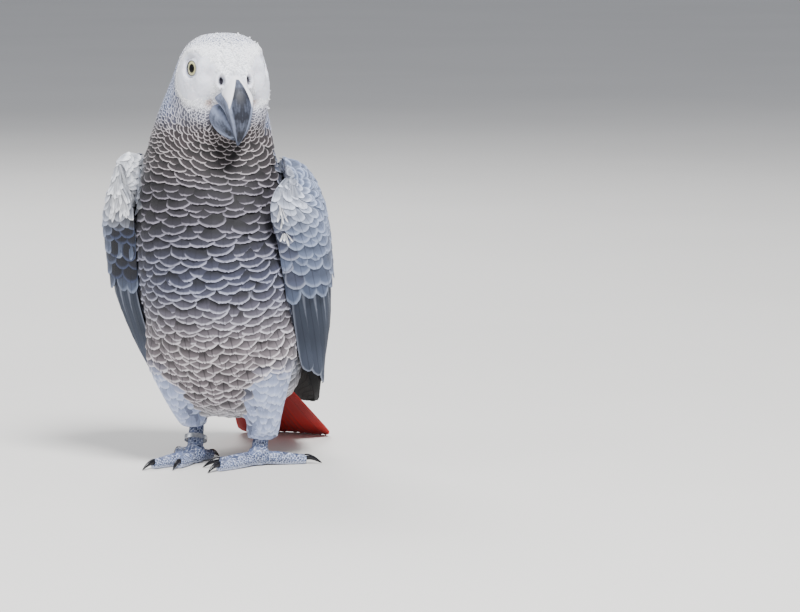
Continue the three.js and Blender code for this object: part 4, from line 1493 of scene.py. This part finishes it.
def make_wing(coat, side):
    """One folded wing: its coverts outside and inside, the feathers at its edges, and its long feathers."""
    chance = np.random.default_rng(coat.seed + 5 + SIDES[side])
    sheet = WingSheet(SIDES[side])
    coverts = Coat(f"coverts_{side}")
    rows = wing_rows(sheet, chance, 3.7)
    small_coverts(coverts, sheet, rows, wing_shades(rows[:, 0], rows[:, 1], side), chance)
    lining = WingSheet(SIDES[side], inside=True)
    rows = wing_rows(lining, chance, 5.6, ((1.5, 3.5), (1.0, 0.5)))
    spots = lining.read(lining.table, rows[:, 0], rows[:, 1])
    small_coverts(coverts, lining, rows, wing_inside(spots), chance)
    if side == "right":
        add_wisps(coverts, sheet, chance, 22, (0.5, 1.3), (0.0, 0.14), 12, 2.0)
    else:
        add_wisps(coverts, sheet, chance, 5, (0.9, 2.1), (0.035, 0.05), 9, 1.1)
        add_wisps(coverts, sheet, chance, 5, (2.65, 2.8), (0.01, 0.035), 5, 1.0)
    long_coverts(coverts, sheet, chance, 2.5, 13, 22, 9.5, "median")
    long_coverts(coverts, sheet, chance, 3.2, 13, 29, 10.5, "greater")
    scapulars(coverts, sheet, chance, side)
    coverts.make(feather_material("coverts", 0.5, 0.25, 0.45, 0.62))
    make_flight(sheet, side, chance)


def make_flight(sheet, side, chance):
    """The secondaries from the front edge to the rear one, each lying on the one before, and under
    them the primaries to the wing's tip."""
    flight = Coat(f"flight_feathers_{side}")
    strips = strip_patches(SECONDARIES + PRIMARIES)
    share = np.linspace(0, 1, SECONDARIES)
    ends = np.interp(share, [0, 0.25, 0.6, 1], [7.2, 8.5, 9.7, 9.9]) + chance.normal(0, 0.1, SECONDARIES)
    stack = np.linspace(-1.3, 0.0, SECONDARIES) * MM
    widths = np.interp(share, [0, 1], [9.5, 12.5]) * MM
    lay_on_wing(flight, sheet, FLIGHT, chance, np.full(SECONDARIES, 3.9), 0.03 + 0.9 * share, None, widths,
                (stack - 1.2 * MM, stack), shaded("secondary", [], SECONDARIES), 0.7, strips[:SECONDARIES],
                drift=-0.02, ends=ends)
    share = np.linspace(0, 1, PRIMARIES)
    ends = np.interp(share, [0, 0.5, 1], [10.6, 11.5, 12.0])
    stack = np.linspace(-2.6, -1.6, PRIMARIES) * MM
    widths = np.full(PRIMARIES, 11.5 * MM)
    lay_on_wing(flight, sheet, FLIGHT, chance, np.full(PRIMARIES, 6.0), 0.02 + 0.5 * share, None, widths,
                (stack - 0.5 * MM, stack), shaded("primary", [], PRIMARIES), 0.5, strips[SECONDARIES:],
                drift=0.08, ends=ends)
    flight.make(feather_material("flight feathers", 0.4, 0.25, 0.35, 0.6, gloss=0.1),
                (f"secondaries_{side}", f"primaries_{side}"))


# ---------------------------------------------------------------- tail
TAIL_ROOT = (0, 62, 49.6)
TAIL_SLOPE = math.radians(33)
TAIL_LENGTH = 90
TAIL_FEATHERS = 12
TAIL_FAN = math.radians(1.55)
TAIL_FEATHER_WIDTH = 17


def make_tail(coat):
    """The tail's feathers, fanned a little, the middle ones on top, laid down to the floor."""
    chance = np.random.default_rng(coat.seed + 11)
    grids = []
    for k in range(TAIL_FEATHERS):
        share = 2 * k / (TAIL_FEATHERS - 1) - 1
        yaw = share * (TAIL_FEATHERS - 1) / 2 * TAIL_FAN
        along = Vector((math.sin(yaw), math.cos(yaw) * math.cos(TAIL_SLOPE), -math.sin(TAIL_SLOPE)))
        along.normalize()
        up = Vector((share * 0.12, math.sin(TAIL_SLOPE), math.cos(TAIL_SLOPE))).normalized()
        sideways = along.cross(up).normalized()
        root = place(TAIL_ROOT[0] + share * 9, *TAIL_ROOT[1:]) - up * (3.2 * abs(share) * MM)
        length = (TAIL_LENGTH - 4 * share**2) * MM
        rows = []
        for index, b in enumerate(FLIGHT.rows):
            half = TAIL_FEATHER_WIDTH / 2 * MM * FLIGHT.outline[index]
            centre = root + along * (length * b) + up * ((0.4 - 4 * b * b * (1 - b)) * MM)
            for a in FLIGHT.columns:
                spot = centre + sideways * (half * a) - up * (0.9 * MM * a * a * b)
                spot.z = max(spot.z, 0.5 * MM * (1 - 0.5 * abs(a)))
                rows.append((*spot, *up))
        grids.append(with_underside(rows, FLIGHT, 0.4 * MM))
    tail = Coat("tail_feathers")
    tail.add(FLIGHT, grids, shaded("tail", [], TAIL_FEATHERS), chance.random(TAIL_FEATHERS),
             strip_patches(TAIL_FEATHERS), TAIL_FEATHER_WIDTH * MM, 0.9 * MM)
    tail.make(feather_material("tail feathers", 0.5, 0.3, 0.3, 0.5), ("tail",))


# ---------------------------------------------------------------- bill
CULMEN = (-40.1, 202.6, 21, math.radians(80), math.radians(-58))
UPPER_BILL = [(-31, 210, 8.6), (-38, 205.6, 9.2), (-43, 203, 8.8), (-47.6, 200.2, 7.6), (-50.4, 195.4, 5.6),
              (-51.2, 189.6, 3), (-50.9, 184.3, 0.5)]
LOWER_BILL = [(-31, 212, -29, 194, 11.4), (-38, 209.5, -35.5, 191.5, 12), (-43, 206, -40.5, 188.8, 10.4),
              (-47.5, 201.5, -45, 187.6, 7.8), (-50, 196, -48.6, 187.2, 4.8),
              (-50.5, 191.5, -49.9, 188.2, 2.2)]
EYE_Y, EYE_Z = -30.2, 226  # the eyes' line in the bill's own layout
OFF_CERE = -9  # the cere measure of horn with no cere near it
NOTCH_PLACE, NOTCH_LENGTH, NOTCH_DEPTH = 0.62, 0.07, 1.1  # in the upper bill's cutting edge


def bill_ring(t, upper):
    """The top and bottom of the bill's section at t, its half width, and how blunt it is."""
    if upper:
        y, z, radius, start, stop = CULMEN
        turn = start + (stop - start) * t
        low_y, low_z, half = row_at(UPPER_BILL, np.array([t * (len(UPPER_BILL) - 1)]))[0]
        return (y - radius * math.cos(turn), z + radius * math.sin(turn)), (low_y, low_z), half, 0.85
    top_y, top_z, low_y, low_z, half = row_at(LOWER_BILL, np.array([t * (len(LOWER_BILL) - 1)]))[0]
    return (top_y, top_z), (low_y, low_z), half, 0.7


def bill_form(upper, steps=110, around=96):
    """One half of the bill: its points and faces, and for each point its place along the horn's grain,
    how powdered it is and how much painted highlight it carries, and how far inside the cere."""
    points, runs, powder, cere = [], [], [], []
    for i in range(steps + 1):
        t = i / steps
        top, bottom, half, fullness = bill_ring(t, upper)
        wedge = 0.9 + 16 * max(t - 0.16, 0)  # half width of the bare ridge between the cere's two sides
        for turn in turns(around):
            cosine, sine = math.cos(turn), math.sin(turn)
            wide = half * abs(sine) ** fullness * math.copysign(1, sine)
            if upper:
                # Towards its base the upper bill is narrower along its ridge and wider at its edges.
                back = 1 - float(smooth(0.08, 0.42, t))
                ridge, edge = float(smooth(-0.5, 0.6, cosine)), float(smooth(0.3, -0.5, cosine))
                wide *= 1 - 0.42 * back * ridge + 0.24 * back * edge
            y = (top[0] + bottom[0]) / 2 + (top[0] - bottom[0]) / 2 * cosine
            z = (top[1] + bottom[1]) / 2 + (top[1] - bottom[1]) / 2 * cosine
            if upper:
                notch = math.exp(-((t - NOTCH_PLACE) / NOTCH_LENGTH) ** 2) * max(-cosine, 0) ** 2
                z += NOTCH_DEPTH * notch
                # A faint ridge runs along each side.
                wide *= 1 + 0.05 * math.exp(-((turn % math.pi - 2.2) / 0.3) ** 2)
            # The cere lies over the base, beside the ridge and above this line on each side.
            low = 0.12 + 0.45 * float(smooth(0.2, 0.45, t))
            edges = (max(abs(wide) - wedge, (0.15 - t) * 30), 10 * (cosine - low), (0.52 - t) * 30)
            inside = min(edges) if upper else OFF_CERE
            cere.append(inside)
            soft = float(smooth(-0.1, 0.9, inside))
            wide *= 1 + 0.05 * soft
            y -= 0.5 * soft * cosine
            z += 0.3 * soft * max(cosine, 0)
            points.append(head_place(wide, -(y - EYE_Y), z - EYE_Z))
            half_turn = turn / math.pi if turn < math.pi else 2 - turn / math.pi
            runs.append((half_turn, t * 3, 0.3 if upper else 2.0))
            worn = max(cosine, 0) ** 3 if upper else 0
            # Powder lies towards the base and less on the worn ridge; the second term paints highlight
            # stripes along each side.
            powder.append((1 - t) * (0.5 - 0.5 * worn) + 0.8 * math.exp(-((abs(sine) - 0.8) / 0.13) ** 2))
    faces = tube_faces(steps + 1, around)
    for end in (0, steps):
        ring = [end * around + k for k in range(around)]
        centre = sum((points[k] for k in ring), Vector()) / around
        points.append(centre)
        runs.append((0.5, 3 * end / steps, 0))
        powder.append(0)
        cere.append(OFF_CERE)
        last = len(points) - 1
        for k in range(around):
            pair = (ring[k], ring[(k + 1) % around])
            faces.append((last, *pair[::-1]) if end == 0 else (last, *pair))
    return points, faces, runs, powder, cere


def bill_cover():
    """Search trees over the two bills' outer form, for keeping feathers off them."""
    return [tree_of(faced_out(mesh_from("bill_cover", *bill_form(upper, 30, 30)[:2])))
            for upper in (True, False)]


def inside_by(trees, point):
    """How far inside the nearest of these closed forms a point is, in metres: less than 0 outside."""
    depths = []
    for tree in trees:
        spot, facing, _, gap = tree.find_nearest(point)
        depths.append(gap if (point - spot).dot(facing) < 0 and gap < 9 * MM else -gap)
    return max(depths)


def horn_piece(node, form, material):
    """Makes one half of the bill or one claw, in place of this node."""
    points, faces, runs, powder, cere = form
    mesh = faced_out(mesh_from(node, points, faces))
    measure(mesh, "run", runs, vectors=True)
    measure(mesh, "powder", powder)
    measure(mesh, "cere", cere)
    finish_piece(new_object(f"{node}_horn", mesh), material, (node,))


def make_bill(look):
    """The upper and lower bill, of slate-black horn."""
    material = horn_material("slate horn", srgb(*look.bill_dark), srgb(*look.bill_pale), 0.9, 1.0, 0.56)
    horn_piece("upper_bill", bill_form(True), material)
    horn_piece("lower_bill", bill_form(False), material)


# ---------------------------------------------------------------- eyes
def make_eyes(look):
    """Both eyeballs, which bulge out a little between the lids."""
    material = eye_material(srgb(*look.iris), look.pupil)
    steps, around = 40, 72
    for side in SIDES:
        axis, centre = eye_axis(side, GAZE_FORWARD), EYES[side]
        over, up = crosswise(axis)
        points = []
        for i in range(steps + 1):
            tilt = math.pi * (i / steps) ** 1.35
            radius = EYE_RADIUS * math.sin(tilt)
            for turn in turns(around):
                ray = over * (radius * math.cos(turn)) + up * (radius * math.sin(turn))
                points.append(centre + ray + axis * (EYE_RADIUS * math.cos(tilt)))
        mesh = faced_out(mesh_from("eye", points, tube_faces(steps + 1, around)))
        spots = positions(mesh) - np.array(centre)
        high, radius = on_axis(spots, np.array(axis))
        measure(mesh, "off_axis", np.where(high > 0, np.minimum(radius / MM / IRIS_RADIUS, 1.2), 1.2))
        turned = np.stack([spots @ np.array(over), spots @ np.array(up)], axis=1)
        turned = turned / np.maximum(radius, 1e-6)[:, None]
        measure(mesh, "spoke", np.column_stack([turned, radius / EYE_RADIUS * 0.25]), vectors=True)
        outward = np.array(eye_axis(side, EYE_FORWARD))
        proud = np.maximum(spots @ outward - LID_HEIGHT, 0) * (1 - CORNEA)
        set_positions(mesh, positions(mesh) - outward * proud[:, None])
        finish_piece(new_object(f"eyeball_{side}", mesh), material, (f"eye_{side}",))


# ---------------------------------------------------------------- feet, claws and ring
SCALE_TRIES = 15000  # places tried for each foot's scales
SCALE_RELIEF = 0.34 * MM
CLAW_RADIUS = 1.9  # at its base, in millimetres
RING_BEVEL = 0.22 * MM


def make_feet(look):
    """Scaly skin over each foot and its toes: every scale is domed, and the soles are smoother."""
    chance = np.random.default_rng(31)
    material = foot_material()
    for side in SIDES:
        nodes = [f"foot_{side}"] + [f"toe_{toe}_{side}" for toe in TOES]
        mesh = remeshed(f"foot_skin_{side}", nodes, look.foot_grain * MM, 6)
        points, outward = positions(mesh), normals(mesh)
        surface = Surface(mesh)
        spots, facing = surface.scatter(SCALE_TRIES, lambda p: np.ones(len(p)), chance)
        gap = 0.00095 + 0.0004 * smooth(0.002, 0.008, spots[:, 2])  # scales are smaller on the toes
        headings = np.cross(facing, [0, 0, 1.0]) + 1e-6
        roots = chosen_roots(spots, chance.random(len(spots)), headings, facing, gap, gap)
        tree = KDTree(len(roots))
        for k, i in enumerate(roots):
            tree.insert(spots[i], k)
        tree.balance()
        tones = chance.random(len(roots))
        near = [tree.find_n(Vector(p), 2) for p in points]
        edge = np.array([pair[1][2] - pair[0][2] for pair in near])
        which = np.array([pair[0][1] for pair in near])
        dome = smooth(0.00006, 0.00055, edge)
        sole = 1 - smooth(0.0008, 0.003, points[:, 2])
        lift = (dome - 0.5) * SCALE_RELIEF * (1 - 0.8 * sole)
        moved = points + outward * lift[:, None]
        moved[:, 2] = np.maximum(moved[:, 2], 0)
        set_positions(mesh, moved)
        measure(mesh, "scale", dome * (1 - 0.7 * sole))
        measure(mesh, "tone", tones[which])
        finish_piece(new_object(f"foot_skin_{side}", mesh), material, nodes)


def claw_form(base, tip, crown, steps=24, around=20):
    """A curved claw from its base to its tip on the floor, arched up to its crown: its points and
    faces, and the measures that bill_form gives."""
    reach = Vector((tip.x - base.x, tip.y - base.y, 0))
    ahead = reach.normalized()
    across = ahead.cross(HEAD_UP)
    points, runs = [], []
    for i in range(steps + 1):
        t = i / steps
        centre = Vector((base.x, base.y, 0)) + ahead * (reach.length * t)
        centre.z = base.z * (1 - t) + 0.3 * MM * t + math.sin(math.pi * t**0.8) * (crown - base.z) * 0.75
        slope = 0.9 * t
        normal = (HEAD_UP * math.cos(slope) + ahead * math.sin(slope)).normalized()
        thick = (CLAW_RADIUS * (1 - t) ** 0.72 + 0.12) * MM
        for k, turn in enumerate(turns(around)):
            spot = centre + across * (math.cos(turn) * thick * 0.82) + normal * (math.sin(turn) * thick)
            spot.z = max(spot.z, 0.05 * MM)
            points.append(spot)
            runs.append((k / around, t * 2, 0))
    ends = [tuple(range(around))[::-1], tuple(steps * around + k for k in range(around))]
    faces = tube_faces(steps + 1, around) + ends
    return points, faces, runs, np.zeros(len(points)), np.full(len(points), OFF_CERE)


def make_claws(look):
    """A horn claw in place of each claw's solid, set back a little into its toe."""
    material = horn_material("claw horn", srgb(*look.claw_dark), srgb(70, 70, 78), 0.2, 1.6, 0.18)
    for side in SIDES:
        foot = np.array(middle(f"foot_{side}"))
        for toe in TOES:
            node = f"claw_{toe}_{side}"
            spots = positions(frame["nodes"][node].data)
            away = np.linalg.norm(spots[:, :2] - foot[:2], axis=1)
            base = Vector(spots[away < away.min() + 1 * MM].mean(axis=0))
            tip = Vector(spots[away.argmax()])
            base -= (tip - base) * 0.12
            horn_piece(node, claw_form(base, tip, float(spots[:, 2].max())), material)


def make_ring(look):
    """A plain round-edged band round the right shank."""
    spots = positions(frame["nodes"]["leg_ring"].data)
    centre = spots.mean(axis=0)
    ways = np.linalg.svd(spots - centre)[2]
    axis, over = Vector(ways[2]).normalized(), Vector(ways[0]).normalized()
    up = axis.cross(over).normalized()
    high, radius = on_axis(spots - centre, np.array(axis))
    inner, outer, tall = radius.min(), radius.max(), high.max() - high.min()
    edge, around = 8, 96
    profile = []
    for corner, (r, h) in enumerate([(1, 1), (-1, 1), (-1, -1), (1, -1)]):
        for k in range(edge + 1):
            turn = math.pi / 2 * (corner + k / edge)
            out = (inner + outer) / 2 + r * ((outer - inner) / 2 - RING_BEVEL) + RING_BEVEL * math.cos(turn)
            profile.append((out, h * (tall / 2 - RING_BEVEL) + RING_BEVEL * math.sin(turn)))
    points = []
    for turn in turns(around):
        ray = over * math.cos(turn) + up * math.sin(turn)
        points += [Vector(centre) + ray * r + axis * h for r, h in profile]
    mesh = faced_out(mesh_from("leg_band", points, tube_faces(around, len(profile), closed=True)))
    finish_piece(new_object("leg_band", mesh), ring_material(srgb(*look.ring)), ("leg_ring",))


# ---------------------------------------------------------------- stage
CAMERA_TURN = math.radians(15)
CAMERA_RISE = math.radians(6.5)
CAMERA_DISTANCE = 2.4  # metres
CAMERA_LENS = 190.8
AIM_RIGHT = 100.7  # how far right of the bird's layout line and above its feet the camera aims, in mm
AIM_UP = 88.9
FLOOR_REACH = 40  # metres from its middle to each side
LAMPS = {  # from the bird to each lamp, and the lamp's size, in metres
    "key": ((0.75, -0.95, 1.55), 0.55),
    "fill": ((-1.5, -0.9, 0.8), 1.2),
    "back": ((-0.9, 1.3, 1.4), 1.0),
}


def make_stage(stage):
    """The floor, the camera, a lamp in front, one beside and one behind, and soft light all round."""
    corners = [(x * FLOOR_REACH, y * FLOOR_REACH, 0) for x, y in [(-1, -1), (1, -1), (1, 1), (-1, 1)]]
    floor = new_object("floor", mesh_from("floor", corners, [(0, 1, 2, 3)]))
    floor.data.materials.append(floor_material(srgb(*stage.floor)))
    right = Vector((math.cos(CAMERA_TURN), math.sin(CAMERA_TURN), 0))
    level = math.cos(CAMERA_RISE)
    view = Vector((-math.sin(CAMERA_TURN) * level, math.cos(CAMERA_TURN) * level, -math.sin(CAMERA_RISE)))
    feet = place(0, 10, 0)
    aside = AIM_RIGHT * MM - (feet - place(0, 0, 0)).dot(right)
    camera = bpy.data.objects.new("camera", bpy.data.cameras.new("camera"))
    bpy.context.scene.collection.objects.link(camera)
    camera.data.lens = CAMERA_LENS
    camera.data.sensor_width = 36
    camera.data.clip_start = 0.1
    camera.location = feet + right * aside + right.cross(view) * (AIM_UP * MM) - view * CAMERA_DISTANCE
    camera.rotation_euler = (-view).to_track_quat("Z", "Y").to_euler()
    bpy.context.scene.camera = camera
    for name, (offset, size) in LAMPS.items():
        lamp = bpy.data.objects.new(name, bpy.data.lights.new(name, "AREA"))
        bpy.context.scene.collection.objects.link(lamp)
        lamp.location = place(0, 10, 120) + Vector(offset)
        lamp.rotation_euler = Vector(offset).to_track_quat("Z", "Y").to_euler()
        lamp.data.size = size
        lamp.data.energy = getattr(stage, name)
        lamp.data.specular_factor = 1.0 if name == "key" else 0.25
    world = bpy.data.worlds.new("soft light")
    world.use_nodes = True
    fill_sockets(world.node_tree, world.node_tree.nodes["Background"],
                 {"Color": (0.86, 0.9, 1.0, 1), "Strength": stage.surround})
    bpy.context.scene.world = world


# ---------------------------------------------------------------- settings
def colour_setting(name, description, value):
    return bpy.props.FloatVectorProperty(
        name=name, description=description, default=value, size=3, min=0, max=255)


def number_setting(name, description, value, **kind):
    return bpy.props.FloatProperty(name=name, description=description, default=value, **kind)


class ParrotCoatSettings(bpy.types.PropertyGroup):
    seed: bpy.props.IntProperty(
        name="Seed", description="Picks another chance arrangement of feathers", default=7)
    candidates: bpy.props.IntProperty(
        name="Candidates", description="How many places are tried for the body's feathers", default=160000)
    row_gap: number_setting(
        "Row gap", "Distance between rows, as a share of the species' own", 0.86, subtype="FACTOR")
    relief: number_setting("Relief", "How far feather tips stand off the next row", 1.0, subtype="FACTOR")
    skin_grain: number_setting(
        "Skin grain", "Size of the skin's faces", 1.5 * MM, unit="LENGTH", precision=5)
    face_shade: colour_setting("Bare face", "Colour of the bare skin round the eyes", (222, 224, 234))


class ParrotLookSettings(bpy.types.PropertyGroup):
    bill_dark: colour_setting("Bill", "Colour of the bill's dark horn", (28, 31, 42))
    # The pale horn colour is also that of the painted highlight stripes along the bill's sides.
    bill_pale: colour_setting("Bill powder", "Colour of the powdered and worn horn", (140, 150, 176))
    iris: colour_setting("Iris", "Colour of the iris", (216, 212, 160))
    pupil: number_setting(
        "Pupil", "The pupil's width as a share of the eye's opening", 0.5, subtype="FACTOR")
    claw_dark: colour_setting("Claws", "Colour of the claws", (14, 14, 18))
    ring: colour_setting("Leg ring", "Colour of the metal leg ring", (190, 192, 196))
    foot_grain: number_setting("Foot grain", "Size of the feet's faces, in millimetres", 0.5)


class ParrotStageSettings(bpy.types.PropertyGroup):
    floor: colour_setting("Floor", "Colour of the floor", (214, 212, 208))
    key: number_setting("Key light", "Power of the main light", 88, unit="POWER")
    fill: number_setting("Fill light", "Power of the fill light", 12, unit="POWER")
    back: number_setting("Back light", "Power of the back light", 40, unit="POWER")
    surround: number_setting("Surround", "Strength of the light all round", 0.5)


# ---------------------------------------------------------------- operators
class PARROT_OT_skin(bpy.types.Operator):
    """Make the skin of head, body, wings and thighs, with the face's folds and the lids"""
    bl_idname = "parrot.skin"
    bl_label = "Skin"

    def execute(self, context):
        make_skin(context.scene.parrot_coat)
        make_lids(context.scene.parrot_coat)
        return {"FINISHED"}


class PARROT_OT_body_feathers(bpy.types.Operator):
    """Lay the feathers of head, neck, breast, back and thighs"""
    bl_idname = "parrot.body_feathers"
    bl_label = "Body feathers"

    def execute(self, context):
        make_body_coat(context.scene.parrot_coat)
        return {"FINISHED"}


class PARROT_OT_wing_feathers(bpy.types.Operator):
    """Lay the coverts, secondaries and primaries of both wings"""
    bl_idname = "parrot.wing_feathers"
    bl_label = "Wing feathers"

    def execute(self, context):
        for side in SIDES:
            make_wing(context.scene.parrot_coat, side)
        return {"FINISHED"}


class PARROT_OT_tail_feathers(bpy.types.Operator):
    """Lay the scarlet tail feathers"""
    bl_idname = "parrot.tail_feathers"
    bl_label = "Tail feathers"

    def execute(self, context):
        make_tail(context.scene.parrot_coat)
        return {"FINISHED"}


class PARROT_OT_bill(bpy.types.Operator):
    """Make the upper and lower bill"""
    bl_idname = "parrot.bill"
    bl_label = "Bill"

    def execute(self, context):
        make_bill(context.scene.parrot_look)
        return {"FINISHED"}


class PARROT_OT_eyes(bpy.types.Operator):
    """Make both eyes"""
    bl_idname = "parrot.eyes"
    bl_label = "Eyes"

    def execute(self, context):
        make_eyes(context.scene.parrot_look)
        return {"FINISHED"}


class PARROT_OT_feet(bpy.types.Operator):
    """Make the scaly feet and their claws"""
    bl_idname = "parrot.feet"
    bl_label = "Feet and claws"

    def execute(self, context):
        make_feet(context.scene.parrot_look)
        make_claws(context.scene.parrot_look)
        return {"FINISHED"}


class PARROT_OT_leg_ring(bpy.types.Operator):
    """Make the metal ring on the right leg"""
    bl_idname = "parrot.leg_ring"
    bl_label = "Leg ring"

    def execute(self, context):
        make_ring(context.scene.parrot_look)
        return {"FINISHED"}


class PARROT_OT_stage(bpy.types.Operator):
    """Set the floor, the lights and the camera"""
    bl_idname = "parrot.stage"
    bl_label = "Stage"

    def execute(self, context):
        make_stage(context.scene.parrot_stage)
        return {"FINISHED"}


class PARROT_PT_panel(bpy.types.Panel):
    """Lists the parrot's makers and settings"""
    bl_label = "Grey Parrot"
    bl_idname = "PARROT_PT_panel"
    bl_space_type = "VIEW_3D"
    bl_region_type = "UI"
    bl_category = "Parrot"

    def draw(self, context):
        for settings in (context.scene.parrot_coat, context.scene.parrot_look, context.scene.parrot_stage):
            box = self.layout.box()
            for name in settings.__annotations__:
                box.prop(settings, name)
        for operator in OPERATORS:
            self.layout.operator(operator.bl_idname)


OPERATORS = [
    PARROT_OT_stage, PARROT_OT_skin, PARROT_OT_body_feathers, PARROT_OT_wing_feathers,
    PARROT_OT_tail_feathers, PARROT_OT_bill, PARROT_OT_eyes, PARROT_OT_feet, PARROT_OT_leg_ring,
]
SETTINGS = {"parrot_coat": ParrotCoatSettings, "parrot_look": ParrotLookSettings,
            "parrot_stage": ParrotStageSettings}
CLASSES = [*SETTINGS.values(), *OPERATORS, PARROT_PT_panel]


def register():
    for made in CLASSES:
        bpy.utils.register_class(made)
    for name, kind in SETTINGS.items():
        setattr(bpy.types.Scene, name, bpy.props.PointerProperty(type=kind))


def unregister():
    for name in SETTINGS:
        delattr(bpy.types.Scene, name)
    for made in reversed(CLASSES):
        bpy.utils.unregister_class(made)


def main():
    register()
    bpy.ops.parrot.stage()
    bpy.ops.parrot.skin()
    bpy.ops.parrot.body_feathers()
    bpy.ops.parrot.wing_feathers()
    bpy.ops.parrot.tail_feathers()
    bpy.ops.parrot.bill()
    bpy.ops.parrot.eyes()
    bpy.ops.parrot.feet()
    bpy.ops.parrot.leg_ring()


if __name__ == "__main__":
    main()
